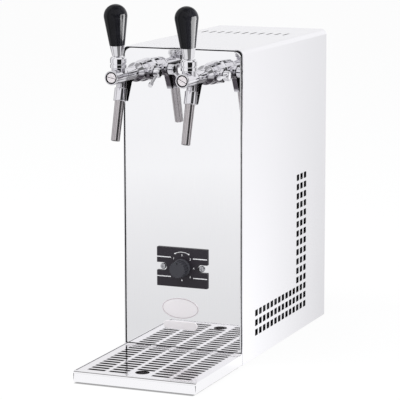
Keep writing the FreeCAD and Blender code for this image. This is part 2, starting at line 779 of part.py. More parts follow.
def make_inner_frame():
    """Shelf for the cold block, on four legs that stand on the pan beside the side walls."""
    half = COVER_INNER_HALF - PAN_SHEET
    pieces = [box(-half, half, SHELF_FRONT_Y, SHELF_REAR_Y, SHELF_Z, SHELF_TOP)]
    for side in (-1, 1):
        x0, x1 = sorted((side * half, side * (half - FRAME_SHEET)))
        for y0, width in ((LEG_FRONT_Y, LEG_WIDTH_FRONT), (LEG_REAR_Y, LEG_WIDTH_REAR)):
            pieces.append(box(x0, x1, y0, y0 + width, PAN_TOP, SHELF_TOP))
    shelf = fuse(pieces)
    holes = []
    places = ((SUCTION_X, SUCTION_Y, LINE_R), (LIQUID_X, DRIER_Y, LINE_R), (BULB_X, CAPILLARY_Y, CAPILLARY_R))
    for x, y, radius in places:
        holes.append(rod(radius + SHELF_HOLE_CLEARANCE, V(x, y, SHELF_Z - 1), V(x, y, SHELF_TOP + 1)))
    return shelf.cut(group(holes))


def make_feet():
    feet = []
    for x in (-FOOT_X, FOOT_X):
        for y in (FOOT_FRONT_Y, FOOT_REAR_Y):
            foot = turned([(0, 0), (FOOT_R - 1, 0), (FOOT_R, FOOT_HEIGHT), (0, FOOT_HEIGHT)], [0, 1, 0, 0],
                          V(x, y, 0), Z_AXIS, X_AXIS)
            feet.append(foot)
    return group(feet)


def crossed_screw(start, end, head_r, head, shank_r, shank):
    """Pan-head screw with a cross recess. The head stands on start and the shank runs on from it."""
    along = (end - start).normalize()
    top = start - along * head
    body = turned([(0, 0), (head_r, 0), (head_r, -head), (0, -head)], [0, 0, head * SCREW_HEAD_ROUND, 0],
                  start, along, X_AXIS)
    body = body.fuse(rod(shank_r, start, start + along * shank))
    wide = head_r * SCREW_CROSS
    thin = wide / 4
    deep = head * SCREW_CROSS
    cross = fuse([box(-wide, wide, -1, deep, -thin, thin), box(-thin, thin, -1, deep, -wide, wide)])
    if along.y < 0:
        cross.rotate(V(0, 0, 0), Z_AXIS, 180)
    cross.translate(top)
    return body.cut(cross)


def make_rear_screws():
    screws = []
    for x, z in rear_screw_places():
        screws.append(crossed_screw(V(x, REAR_FACE_Y, z), V(x, 0, z), REAR_SCREW_HEAD_R, REAR_SCREW_HEAD,
                                    REAR_SCREW_R, REAR_SCREW_LENGTH))
    return group(screws)


def make_control_screws():
    screws = []
    for x in (-CONTROL_SCREW_X, CONTROL_SCREW_X):
        screws.append(crossed_screw(V(x, 0, DIAL_Z), V(x, REAR_FACE_Y, DIAL_Z), CONTROL_SCREW_HEAD_R,
                                    CONTROL_SCREW_HEAD, CONTROL_SCREW_R, CONTROL_SCREW_LENGTH))
    return group(screws)


def make_control_plate():
    half = PLATE_WIDTH / 2
    z0 = DIAL_Z - PLATE_HEIGHT / 2
    z1 = DIAL_Z + PLATE_HEIGHT / 2
    plate = prism_y(-half, half, z0, z1, [PLATE_CORNER_R] * 4, PLATE_FACE_Y, 0)
    r = NOTCH_HEIGHT / 2
    cuts = [rod(BUSH_R + BUSH_CLEARANCE, V(0, PLATE_FACE_Y - 1, DIAL_Z), V(0, 1, DIAL_Z))]
    for side in (-1, 1):
        centre = side * (half - NOTCH_DEPTH + r)
        cuts.append(rod(r, V(centre, PLATE_FACE_Y - 1, DIAL_Z), V(centre, 1, DIAL_Z)))
        x0, x1 = sorted((centre, side * (half + 1)))
        cuts.append(box(x0, x1, PLATE_FACE_Y - 1, 1, DIAL_Z - r, DIAL_Z + r))
    return plate.cut(group(cuts))


def make_knob():
    """Fluted knob with a wider skirt and a blind D-shaped bore."""
    y0 = PLATE_FACE_Y - KNOB_GAP
    face = y0 - KNOB_LENGTH
    skirt = y0 - KNOB_SKIRT
    profile = [(0, 0), (KNOB_SKIRT_R, 0), (KNOB_SKIRT_R, KNOB_SKIRT), (KNOB_R, KNOB_SKIRT + KNOB_EDGE),
               (KNOB_R, KNOB_LENGTH), (0, KNOB_LENGTH)]
    body = turned(profile, [0, 0, KNOB_EDGE / 2, 0, KNOB_EDGE, 0], V(0, y0, DIAL_Z), V(0, -1, 0), X_AXIS)
    cuts = []
    for i in range(KNOB_FLUTES):
        angle = 2 * math.pi * (i + 0.5) / KNOB_FLUTES
        x = KNOB_R * math.cos(angle)
        z = DIAL_Z + KNOB_R * math.sin(angle)
        cuts.append(rod(KNOB_FLUTE_R, V(x, face - 1, z), V(x, skirt - 2 * KNOB_EDGE, z)))
    bore = rod(SHAFT_R + SHAFT_CLEARANCE, V(0, y0 + 1, DIAL_Z), V(0, y0 - KNOB_BORE_DEPTH, DIAL_Z))
    flat = box(-SHAFT_R - 1, SHAFT_R + 1, y0 - KNOB_BORE_DEPTH - 1, y0 + 2,
               DIAL_Z + SHAFT_FLAT + SHAFT_CLEARANCE, DIAL_Z + SHAFT_R + 1)
    cuts.append(bore.cut(flat))
    return body.cut(group(cuts))


def make_shaft():
    """Thermostat shaft: round in its bush, with a flat where the knob sits."""
    y0 = PLATE_FACE_Y - KNOB_GAP - KNOB_BORE_DEPTH + SHAFT_END_GAP
    shaft = rod(SHAFT_R, V(0, y0, DIAL_Z), V(0, PANEL_SHEET + THERMOSTAT_SHAFT_TAIL, DIAL_Z))
    flat = box(-SHAFT_R - 1, SHAFT_R + 1, y0 - 1, PLATE_FACE_Y - KNOB_GAP,
               DIAL_Z + SHAFT_FLAT, DIAL_Z + SHAFT_R + 1)
    return shaft.cut(flat)


def make_thermostat_body():
    half = THERMOSTAT_WIDTH / 2
    y1 = PANEL_SHEET + THERMOSTAT_DEPTH
    body = box(-half, half, PANEL_SHEET, y1, DIAL_Z - THERMOSTAT_HEIGHT / 2, DIAL_Z + THERMOSTAT_HEIGHT / 2)
    bush = rod(BUSH_R, V(0, PLATE_FACE_Y, DIAL_Z), V(0, PANEL_SHEET, DIAL_Z))
    outlet_z = DIAL_Z + BULB_OUTLET_Z
    tail = rod(BULB_OUTLET_R, V(BULB_X, y1, outlet_z), V(BULB_X, y1 + BULB_OUTLET, outlet_z))
    strap_half = CONTROL_SCREW_X + STRAP_END
    strap = box(-strap_half, strap_half, PANEL_SHEET, PANEL_SHEET + STRAP_SHEET,
                DIAL_Z - STRAP_HEIGHT / 2, DIAL_Z + STRAP_HEIGHT / 2)
    cuts = [rod(SHAFT_R + SHAFT_CLEARANCE, V(0, PLATE_FACE_Y - 1, DIAL_Z),
                V(0, PANEL_SHEET + THERMOSTAT_SHAFT_TAIL + SHAFT_END_GAP, DIAL_Z))]
    for side in (-1, 1):
        x = side * CONTROL_SCREW_X
        cuts.append(rod(CONTROL_SCREW_R + SCREW_CLEARANCE, V(x, 0, DIAL_Z),
                        V(x, CONTROL_SCREW_LENGTH, DIAL_Z)))
    return fuse([body, bush, tail, strap]).cut(group(cuts))


def make_thermostat_bulb():
    """Capillary from the thermostat up to the block, with the bulb in the block's pocket."""
    y0 = PANEL_SHEET + THERMOSTAT_DEPTH + BULB_OUTLET
    z0 = DIAL_Z + BULB_OUTLET_Z
    bulb_y = BLOCK_FRONT_Y + BULB_START
    points = [V(BULB_X, y0, z0), V(BULB_X, CAPILLARY_Y, z0), V(BULB_X, CAPILLARY_Y, BULB_Z),
              V(BULB_X, bulb_y, BULB_Z)]
    line = pipe("thermostat_bulb", points, CAPILLARY_R, 0)
    profile = [(0, 0), (BULB_R, 0), (BULB_R, BULB_LENGTH), (0, BULB_LENGTH)]
    bulb = turned(profile, [0, BULB_R / 2, BULB_R / 2, 0], V(BULB_X, bulb_y, BULB_Z), Y_AXIS, X_AXIS)
    return line.fuse(bulb)


def make_oval_badge():
    edge = Part.Ellipse(V(0, 0, 0), OVAL_WIDTH / 2, OVAL_HEIGHT / 2).toShape()
    plate = Part.Face(Part.Wire(edge)).extrude(V(0, 0, BADGE_THICKNESS))
    plate.rotate(V(0, 0, 0), X_AXIS, 90)
    plate.translate(V(BADGE_X, 0, OVAL_Z))
    return plate


def make_small_badge():
    half = SMALL_BADGE_WIDTH / 2
    r = SMALL_BADGE_HEIGHT / 2 * 0.999
    z0 = SMALL_BADGE_Z - SMALL_BADGE_HEIGHT / 2
    z1 = SMALL_BADGE_Z + SMALL_BADGE_HEIGHT / 2
    plate = prism_y(BADGE_X - half, BADGE_X + half, z0, z1, [r] * 4, -BADGE_THICKNESS, 0)
    front = [e for e in plate.Edges if abs(e.BoundBox.YMin + BADGE_THICKNESS) < 1e-6
             and abs(e.BoundBox.YMax + BADGE_THICKNESS) < 1e-6]
    return plate.makeChamfer(BADGE_EDGE, front)


def make_tray():
    """Folded tray with rounded edges, a front hem, a rear lip and two tongues that run under the pan."""
    y0 = -TRAY_DEPTH
    y1 = -TRAY_PANEL_GAP
    half = HALF_WIDTH
    r = TRAY_EDGE_R
    outer = prism_y(-half, half, 0, TRAY_HEIGHT, [r, r, 0, 0], y0, y1)
    inner_half = half - TRAY_SHEET
    r_in = r - TRAY_SHEET
    inner = prism_y(-inner_half, inner_half, TRAY_SHEET, TRAY_HEIGHT + 1, [r_in, r_in, 0, 0],
                    y0 + TRAY_SHEET, y1 - TRAY_SHEET)
    hem_z = TRAY_HEIGHT - TRAY_HEM
    hem = box(-inner_half, inner_half, y0, y0 + TRAY_RIM, hem_z, TRAY_HEIGHT)
    lip = box(-half, half, y1 - TRAY_SHEET, y1, hem_z, TRAY_HEIGHT + TRAY_REAR_RISE)
    pieces = [outer.cut(inner), hem, lip]
    for side in (-1, 1):
        x = side * TONGUE_X
        pieces.append(box(x - TONGUE_WIDTH / 2, x + TONGUE_WIDTH / 2, y1 - TRAY_SHEET, TONGUE_LENGTH,
                          0, TRAY_SHEET))
    tray = fuse(pieces)
    top_front = [e for e in tray.Edges if abs(e.BoundBox.YMax - y0) < 1e-6
                 and abs(e.BoundBox.ZMin - TRAY_HEIGHT) < 1e-6]
    return tray.makeFillet(TRAY_TOP_EDGE_R, top_front)


def make_grid():
    """Slotted plate on two bent legs, with a finger hole near the front."""
    half = HALF_WIDTH - TRAY_SHEET - GRID_CLEARANCE
    y0 = -TRAY_DEPTH + TRAY_RIM + GRID_CLEARANCE
    y1 = -TRAY_PANEL_GAP - TRAY_SHEET - GRID_CLEARANCE
    z1 = TRAY_HEIGHT - GRID_TOP_BELOW_RIM
    z0 = z1 - GRID_SHEET
    plate = fuse([box(-half, half, y0, y1, z0, z1),
                  box(-half + GRID_LEG_INSET, half - GRID_LEG_INSET, y0, y0 + GRID_SHEET, TRAY_SHEET, z0),
                  box(-half + GRID_LEG_INSET, half - GRID_LEG_INSET, y1 - GRID_SHEET, y1, TRAY_SHEET, z0)])
    cuts = [rod(FINGER_HOLE_R, V(0, FINGER_HOLE_Y, z0 - 1), V(0, FINGER_HOLE_Y, z1 + 1))]
    middle = (GRID_SLOT_COLUMNS - 1) / 2
    for column in range(GRID_SLOT_COLUMNS):
        x = (column - middle) * GRID_COLUMN_PITCH
        for row in range(GRID_SLOT_ROWS):
            y = GRID_FIRST_ROW_Y - row * GRID_ROW_PITCH
            if column == middle and y - GRID_SLOT_WIDTH / 2 < FINGER_HOLE_Y + FINGER_HOLE_R:
                continue
            cuts.append(slot_z(x, y, GRID_SLOT_LENGTH, GRID_SLOT_WIDTH, z0 - 1, z1 + 1))
    return plate.cut(group(cuts))


def spout_point(distance):
    """Point on the spout's axis, measured down from the tap's axis."""
    lean = math.radians(SPOUT_LEAN)
    return V(0, SPOUT_AXIS_Y - distance * math.sin(lean), TAP_Z - distance * math.cos(lean))


def prism_x(outline, half):
    """Outline of Y and Z points, carried along X on both sides of zero."""
    points = [V(-half, y, z) for y, z, r in outline]
    return rounded_face(points, [r for y, z, r in outline]).extrude(V(2 * half, 0, 0))


def make_tap_body():
    """Casting of head, neck, barrel, spout socket, web and side boss, with its bores."""
    origin = V(0, 0, TAP_Z)
    profile = [(0, HEAD_FRONT_Y), (HEAD_R, HEAD_FRONT_Y), (HEAD_R, HEAD_REAR_Y),
               (NECK_R, HEAD_REAR_Y + HEAD_TAPER), (NECK_R, NECK_REAR_Y), (COLLAR_R, BARREL_FRONT_Y),
               (COLLAR_R, COLLAR_REAR_Y), (BARREL_R, COLLAR_REAR_Y), (BARREL_R, BARREL_REAR_Y),
               (0, BARREL_REAR_Y)]
    radii = [0, TAP_EDGE, NECK_BLEND, NECK_BLEND, BARREL_BLEND, BARREL_BLEND, 0, TAP_EDGE / 2, TAP_EDGE, 0]
    main = turned(profile, radii, origin, Y_AXIS, X_AXIS)
    base = rod(NUT_BASE_R, V(0, NUT_Y, TAP_Z), V(0, NUT_Y, NUT_BOTTOM_Z))
    seat_top = NUT_BOTTOM_Z + SEAT_HEIGHT
    seat = rod(NUT_BORE_R - SEAT_INSET, V(0, NUT_Y, NUT_BOTTOM_Z - 1), V(0, NUT_Y, seat_top))
    down = (spout_point(1) - spout_point(0)).normalize()
    neck = rod(SOCKET_NECK_R, spout_point(0), spout_point(SOCKET_START + 1))
    socket = turned([(0, SOCKET_START), (SOCKET_R, SOCKET_START), (SOCKET_R, SOCKET_END), (0, SOCKET_END)],
                    [0, TAP_EDGE, TAP_EDGE, 0], spout_point(0), down, X_AXIS)
    end = spout_point(SOCKET_END)
    web_top = TAP_Z - NECK_R + WEB_ROOT
    web = prism_x([(NECK_REAR_Y + WEB_ROOT, web_top, 0), (WEB_CORNER_Y, WEB_CORNER_Z, WEB_FILLET),
                   (end.y + WEB_FOOT, end.z - WEB_TIP, WEB_TIP / 2), (end.y, end.z + WEB_TIP, 0),
                   (HEAD_REAR_Y, web_top, 0)], WEB_THICKNESS / 2)
    boss_end = V(SPINDLE_BOSS_X, SPINDLE_Y, SPINDLE_Z)
    boss_front = boss_end - X_AXIS * SPINDLE_NUT
    boss = rod(SPINDLE_BOSS_R, V(0, SPINDLE_Y, SPINDLE_Z), boss_front)
    gland = hexagon(SPINDLE_NUT_ACROSS, boss_front, boss_end)
    body = fuse([main, base, seat, neck, socket, web, boss, gland])
    pivot = V(0, NUT_Y, PIVOT_Z)
    plug_end = HEAD_FRONT_Y + PLUG_BORE_DEPTH
    room = TAIL_TIP_R + SLOT_ROOM
    front = tail_tip(0).y - room
    open_tip = tail_tip(POUR_ANGLE)
    steep = math.radians(LEVER_LEAN + POUR_ANGLE)
    shoulder = open_tip.z + room
    tail_rear = NUT_Y + (PIVOT_Z - shoulder) * math.tan(steep) + TAIL_R / math.cos(steep) + SLOT_ROOM
    wall = NUT_Y + NUT_BASE_R - SLOT_REAR_WALL
    slot = prism_x([(front, TAP_Z, 0), (open_tip.y + room, TAP_Z, 0), (open_tip.y + room, shoulder, 0),
                    (tail_rear, shoulder, 0), (wall, NUT_BOTTOM_Z - SLOT_ROOM, 0), (wall, seat_top + 1, 0),
                    (NUT_Y - TAIL_R - SLOT_ROOM / 2, seat_top + 1, 0)], room)
    cuts = [rod(PLUG_BORE_R, V(0, HEAD_FRONT_Y - 1, TAP_Z), V(0, plug_end, TAP_Z)),
            rod(PISTON_R + PISTON_CLEARANCE, V(0, plug_end - 1, TAP_Z), V(0, PISTON_BORE_REAR_Y, TAP_Z)),
            rod(ROD_BORE_R, V(0, PISTON_BORE_REAR_Y - 1, TAP_Z), V(0, SEAT_Y + 1, TAP_Z)),
            rod(CHAMBER_R, V(0, SEAT_Y, TAP_Z), V(0, CHAMBER_REAR_Y, TAP_Z)),
            rod(SHANK_R + SHANK_CLEARANCE, V(0, CHAMBER_REAR_Y - 1, TAP_Z), V(0, BARREL_REAR_Y + 1, TAP_Z)),
            rod(SPINDLE_R + SPINDLE_CLEARANCE, V(CHAMBER_R / 2, SPINDLE_Y, SPINDLE_Z), boss_end + X_AXIS),
            rod(PORT_R, V(0, PORT_TOP_Y, TAP_Z), spout_point(SPOUT_START + 1)),
            rod(SPOUT_R + SPOUT_CLEARANCE, spout_point(SPOUT_START), spout_point(SOCKET_END + 1)),
            Part.makeSphere(BALL_R + BALL_CLEARANCE, pivot), slot,
            ring_groove(COLLAR_R, COLLAR_GROOVE_DEPTH, COLLAR_GROOVE_Y, COLLAR_GROOVE_WIDTH)]
    for cutter in cuts:
        body = body.cut(cutter)
    return body


def ring_groove(radius, depth, y, width):
    """Cutter for a groove round the tap's axis."""
    front = V(0, y - width / 2, TAP_Z)
    rear = V(0, y + width / 2, TAP_Z)
    return rod(radius + 1, front, rear).cut(rod(radius - depth, front, rear))


def tail_tip(angle):
    """Centre of the lever's tail ball with the handle pulled forward by an angle."""
    lean = math.radians(LEVER_LEAN + angle)
    return V(0, NUT_Y + TAIL_LENGTH * math.sin(lean), PIVOT_Z - TAIL_LENGTH * math.cos(lean))


def make_top_nut():
    """Domed nut over the lever's ball, grooved into two bands, with a flared mouth."""
    pivot = V(0, NUT_Y, PIVOT_Z)
    up = Z_AXIS
    bottom = NUT_BOTTOM_Z - PIVOT_Z
    waist = NUT_R - NUT_GROOVE_DEPTH
    lower = turned([(0, bottom), (NUT_R, bottom), (NUT_R, -NUT_GROOVE_WIDTH), (waist, -NUT_GROOVE_WIDTH),
                    (waist, 0), (0, 0)], [0, NUT_EDGE, NUT_EDGE, 0, 0, 0], pivot, up, X_AXIS)
    upper = rod(NUT_R, pivot, pivot + up * NUT_DOME_R).common(Part.makeSphere(NUT_DOME_R, pivot))
    nut = lower.fuse(upper)
    swing = math.radians(LEVER_LEAN + POUR_ANGLE + LEVER_SWING_ROOM)
    neck = LEVER_NECK_R / math.cos(swing)
    depth = NUT_DOME_R + 1
    mouth = Part.makeCone(neck, neck + depth * math.tan(swing), depth, pivot, up)
    cuts = [mouth, Part.makeSphere(BALL_R + BALL_CLEARANCE, pivot),
            rod(NUT_BORE_R, pivot + up * (bottom - 1), pivot - up * NUT_BORE_BELOW_PIVOT)]
    for cutter in cuts:
        nut = nut.cut(cutter)
    return nut


def lean_forward(shape):
    """Tip a shape built upright over the pivot to the handle's resting lean, and put it in place."""
    shape.rotate(V(0, 0, 0), X_AXIS, LEVER_LEAN)
    shape.translate(V(0, NUT_Y, PIVOT_Z))
    return shape


def make_lever():
    """Ball, tail and neck with the bright ferrule and the stem inside the grip, built upright."""
    dish = NUT_DOME_R + FERRULE_GAP
    bottom = math.sqrt(dish ** 2 - FERRULE_BOTTOM_R ** 2)
    ferrule = tapered(FERRULE_BOTTOM_R, FERRULE_TOP_R, V(0, 0, bottom), V(0, 0, FERRULE_TOP))
    ferrule = ferrule.cut(Part.makeSphere(dish))
    tail = V(0, 0, -TAIL_LENGTH)
    pieces = [ferrule, rod(LEVER_NECK_R, V(0, 0, 0), V(0, 0, FERRULE_TOP)), Part.makeSphere(BALL_R),
              rod(TAIL_R, tail, V(0, 0, 0)), Part.makeSphere(TAIL_TIP_R, tail),
              rod(STEM_R, V(0, 0, FERRULE_TOP - 1), V(0, 0, FERRULE_TOP + STEM_LENGTH))]
    return lean_forward(fuse(pieces))


def make_grip():
    """Pear-shaped grip: a cone that runs tangent into a round top, with a blind bore for the stem."""
    centre = GRIP_TOP - GRIP_R
    rise = centre - FERRULE_TOP
    reach = math.hypot(FERRULE_TOP_R, rise)
    touch = math.atan2(-rise, FERRULE_TOP_R) + math.acos(GRIP_R / reach)
    middle = (touch + math.pi / 2) / 2
    corner = V(FERRULE_TOP_R, 0, FERRULE_TOP)
    tangent = V(GRIP_R * math.cos(touch), 0, centre + GRIP_R * math.sin(touch))
    over = V(GRIP_R * math.cos(middle), 0, centre + GRIP_R * math.sin(middle))
    top = V(0, 0, GRIP_TOP)
    start = V(0, 0, FERRULE_TOP)
    edges = [Part.LineSegment(start, corner).toShape(), Part.LineSegment(corner, tangent).toShape(),
             Part.Arc(tangent, over, top).toShape(), Part.LineSegment(top, start).toShape()]
    grip = Part.Face(Part.Wire(edges)).revolve(V(0, 0, 0), Z_AXIS, 360)
    bore = rod(STEM_R + STEM_CLEARANCE, V(0, 0, FERRULE_TOP - 1),
               V(0, 0, FERRULE_TOP + STEM_LENGTH + STEM_END_GAP))
    return lean_forward(grip.cut(bore))


def make_front_plug(turn):
    """Screwed plug whose disc has a shallow slot, turned clockwise by an angle."""
    face = HEAD_FRONT_Y + PLUG_SETBACK
    step = face + PLUG_DISC_LENGTH
    end = HEAD_FRONT_Y + PLUG_BORE_DEPTH - PLUG_SETBACK
    r = PLUG_BORE_R - PLUG_CLEARANCE
    profile = [(0, face), (PLUG_DISC_R, face), (PLUG_DISC_R, step), (r, step), (r, end), (0, end)]
    plug = turned(profile, [0, TAP_EDGE / 2, 0, 0, 0, 0], V(0, 0, TAP_Z), Y_AXIS, X_AXIS)
    slot = box(-PLUG_BORE_R, PLUG_BORE_R, face - 1, face + PLUG_SLOT_DEPTH,
               -PLUG_SLOT_WIDTH / 2, PLUG_SLOT_WIDTH / 2)
    slot.rotate(V(0, 0, 0), Y_AXIS, turn)
    slot.translate(Z_AXIS * TAP_Z)
    return plug.cut(slot)


def make_plunger():
    """Guide piston with a notch for the lever's tail, a thin rod and the poppet behind its seat."""
    tip = tail_tip(0)
    half = TAIL_TIP_R + TAIL_PLAY
    rear = tip.y + half + PISTON_WALL
    poppet = SEAT_Y + POPPET_SEAT_GAP
    piston = rod(PISTON_R, V(0, rear - PISTON_LENGTH, TAP_Z), V(0, rear, TAP_Z))
    notch = box(-PISTON_R - 1, PISTON_R + 1, tip.y - half, tip.y + half, tip.z - half, TAP_Z + PISTON_R + 1)
    stem = rod(ROD_R, V(0, rear - 1, TAP_Z), V(0, poppet + 1, TAP_Z))
    head = turned([(0, 0), (POPPET_R, 0), (POPPET_R, POPPET_THICKNESS), (0, POPPET_THICKNESS)],
                  [0, TAP_EDGE / 2, TAP_EDGE / 2, 0], V(0, poppet, TAP_Z), Y_AXIS, X_AXIS)
    return fuse([piston.cut(notch), stem, head])


def crank_place(angle):
    """Centre of the crank pin on the spindle's end, as Y and Z, for a lever angle below forward."""
    swing = math.radians(angle - CONE_SWEEP / 2)
    return SPINDLE_Y + CRANK_R * math.sin(swing), SPINDLE_Z - CRANK_R * math.cos(swing)


def cone_shift(angle):
    """Travel of the cone, in a steady ratio to the lever angle."""
    half = math.radians(CONE_SWEEP / 2)
    return CRANK_R * math.sin(half) / half * math.radians(angle - CONE_SWEEP / 2)


def make_comp_cone(angle):
    y1 = SPINDLE_Y + CONE_BODY / 2
    y0 = SPINDLE_Y - CONE_BODY / 2
    side = SPINDLE_INNER_X - CRANK_PLAY
    body = rod(CONE_R, V(0, y0, TAP_Z), V(0, y1, TAP_Z))
    body = body.common(box(-CONE_R, side, y0, y1, TAP_Z - CONE_FLAT, TAP_Z + CONE_FLAT))
    cone = body.fuse(tapered(CONE_TIP_R, CONE_ROOT_R, V(0, y0 - CONE_TAPER, TAP_Z), V(0, y0, TAP_Z)))
    half = CRANK_PIN_R + CRANK_PLAY
    slot = box(side - CRANK_PIN_LENGTH, CONE_R, SPINDLE_Y - half, SPINDLE_Y + half,
               TAP_Z - CONE_R, TAP_Z + CONE_SLOT_TOP)
    cone = cone.cut(slot)
    cone.translate(V(0, cone_shift(angle), 0))
    return cone


def make_comp_lever(angle):
    """Spindle with its crank pin, the hub outside and the round rod, built for one lever angle."""
    hub_x = SPINDLE_BOSS_X + HUB_GAP
    centre = V(hub_x + HUB_LENGTH / 2, SPINDLE_Y, SPINDLE_Z)
    along = V(0, -math.cos(math.radians(angle)), -math.sin(math.radians(angle)))
    y, z = crank_place(angle)
    hub = turned([(0, 0), (HUB_R, 0), (HUB_R, HUB_LENGTH), (0, HUB_LENGTH)], [0, TAP_EDGE, TAP_EDGE * 2, 0],
                 V(hub_x, SPINDLE_Y, SPINDLE_Z), X_AXIS, Z_AXIS)
    tip = centre + along * ROD_LEVER_LENGTH
    inner = V(SPINDLE_INNER_X, SPINDLE_Y, SPINDLE_Z)
    pieces = [hub, rod(SPINDLE_R, inner, V(hub_x + 1, SPINDLE_Y, SPINDLE_Z)),
              rod(CRANK_PIN_R, V(SPINDLE_INNER_X - CRANK_PIN_LENGTH, y, z), V(SPINDLE_INNER_X + 1, y, z)),
              rod(ROD_LEVER_R, centre, tip - along), rod(ROD_LEVER_TIP_R, tip - along * ROD_LEVER_TIP, tip)]
    return fuse(pieces)


def make_spout():
    """Tube that is straight in its socket and tapers to its mouth."""
    outer = rod(SPOUT_R, spout_point(SPOUT_START), spout_point(SOCKET_END)).fuse(
        tapered(SPOUT_R, SPOUT_TIP_R, spout_point(SOCKET_END), spout_point(SPOUT_END)))
    bore = tapered(SPOUT_R - SPOUT_WALL, SPOUT_TIP_R - SPOUT_WALL, spout_point(SPOUT_START - 1),
                   spout_point(SPOUT_END + 1))
    return outer.cut(bore)


def make_rosette():
    r = SHANK_R + SHANK_CLEARANCE
    profile = [(r, -ROSETTE_DEPTH), (ROSETTE_FRONT_R, -ROSETTE_DEPTH), (ROSETTE_R, 0), (r, 0)]
    return turned(profile, [0, TAP_EDGE, 0, 0], V(0, 0, TAP_Z), Y_AXIS, X_AXIS)


def make_shank():
    tube = rod(SHANK_R, V(0, SHANK_FRONT_Y, TAP_Z), V(0, SHANK_REAR_Y, TAP_Z))
    return tube.cut(rod(SHANK_BORE_R, V(0, SHANK_FRONT_Y - 1, TAP_Z), V(0, SHANK_REAR_Y + 1, TAP_Z)))


def make_panel_nuts():
    """Washer and nut on each tap's shank, and a nut on each hose stem."""
    pieces = []
    for x in (-TAP_X, TAP_X):
        y0 = PANEL_SHEET
        y1 = y0 + SHANK_WASHER
        y2 = y1 + SHANK_NUT
        hole = rod(SHANK_R + SHANK_CLEARANCE, V(x, y0 - 1, TAP_Z), V(x, y2 + 1, TAP_Z))
        pieces.append(rod(SHANK_WASHER_R, V(x, y0, TAP_Z), V(x, y1, TAP_Z)).cut(hole))
        pieces.append(hexagon(SHANK_NUT_ACROSS, V(x, y1, TAP_Z), V(x, y2, TAP_Z)).cut(hole))
    for x, z in stem_places():
        y0 = REAR_INNER_Y - STEM_NUT
        hole = rod(STEM_TUBE_R + SHANK_CLEARANCE, V(x, y0 - 1, z), V(x, REAR_FACE_Y, z))
        pieces.append(hexagon(STEM_HEX, V(x, y0, z), V(x, REAR_INNER_Y, z)).cut(hole))
    return group(pieces)


def at_tap(shape, side):
    shape.translate(V(side * TAP_X, 0, 0))
    return shape


def dome_height(x, y):
    """Height of the compressor's dome at a place over the floor."""
    r = math.hypot(x, y - COMPRESSOR_Y)
    return COMPRESSOR_SIDE_TOP + COMPRESSOR_DOME * math.sqrt(1 - (r / COMPRESSOR_R) ** 2)


def make_compressor():
    """Welded shell with a dome, on a plate with its pipe stubs and terminal box."""
    origin = V(0, COMPRESSOR_Y, 0)
    can = turned([(0, COMPRESSOR_BOTTOM), (COMPRESSOR_R, COMPRESSOR_BOTTOM),
                  (COMPRESSOR_R, COMPRESSOR_SIDE_TOP), (0, COMPRESSOR_SIDE_TOP)],
                 [0, COMPRESSOR_EDGE, 0, 0], origin, Z_AXIS, X_AXIS)
    ellipse = Part.Ellipse(V(0, 0, 0), COMPRESSOR_R, COMPRESSOR_DOME).toShape()
    half_disc = Part.Face(Part.Wire(ellipse)).common(Part.makePlane(COMPRESSOR_R, COMPRESSOR_DOME))
    half_disc.rotate(V(0, 0, 0), X_AXIS, 90)
    half_disc.translate(origin + Z_AXIS * COMPRESSOR_SIDE_TOP)
    dome = half_disc.revolve(origin, Z_AXIS, 360)
    weld = rod(WELD_RING_R, origin + Z_AXIS * WELD_Z, origin + Z_AXIS * (WELD_Z + WELD_HEIGHT))
    plate_z = PAN_TOP + GROMMET_HEIGHT
    plate_half = GROMMET_X + GROMMET_R
    plate_y = GROMMET_PITCH_Y / 2 + GROMMET_R
    plate_top = plate_z + PLATE_SHEET
    plate = box(-plate_half, plate_half, COMPRESSOR_Y - plate_y, COMPRESSOR_Y + plate_y, plate_z, plate_top)
    saddle = rod(SADDLE_R, origin + Z_AXIS * plate_z, origin + Z_AXIS * (COMPRESSOR_BOTTOM + 1))
    terminal_y = COMPRESSOR_Y - COMPRESSOR_R
    terminal = box(-TERMINAL_HALF, TERMINAL_HALF, terminal_y - TERMINAL_OUT, terminal_y + TERMINAL_HALF,
                   TERMINAL_Z, TERMINAL_Z + TERMINAL_HEIGHT)
    pieces = [can, dome, weld, plate, saddle, terminal]
    for x, y in ((SUCTION_X, SUCTION_Y), (DISCHARGE_X, DISCHARGE_Y)):
        z = dome_height(x, y)
        pieces.append(rod(STUB_R, V(x, y, z - STUB_SINK), V(x, y, z + STUB_OUT)))
    body = fuse(pieces)
    holes = [rod(GROMMET_NECK_R + GROMMET_NECK_CLEARANCE, V(x, y, plate_z - 1), V(x, y, plate_top + 1))
             for x, y in grommet_places()]
    return body.cut(group(holes))


def grommet_places():
    for x in (-GROMMET_X, GROMMET_X):
        for y in (COMPRESSOR_Y - GROMMET_PITCH_Y / 2, COMPRESSOR_Y + GROMMET_PITCH_Y / 2):
            yield x, y


def make_grommets():
    """Rubber mounts that stand on the pan, with a neck through the compressor's plate."""
    grommets = []
    for x, y in grommet_places():
        z1 = GROMMET_HEIGHT
        z2 = z1 + PLATE_SHEET
        profile = [(0, 0), (GROMMET_R, 0), (GROMMET_R, z1), (GROMMET_NECK_R, z1), (GROMMET_NECK_R, z2),
                   (GROMMET_HEAD_R, z2), (GROMMET_HEAD_R, z2 + GROMMET_TOP), (0, z2 + GROMMET_TOP)]
        grommets.append(turned(profile, [0, 1, 0, 0, 0, 0, 1, 0], V(x, y, PAN_TOP), Z_AXIS, X_AXIS))
    return group(grommets)


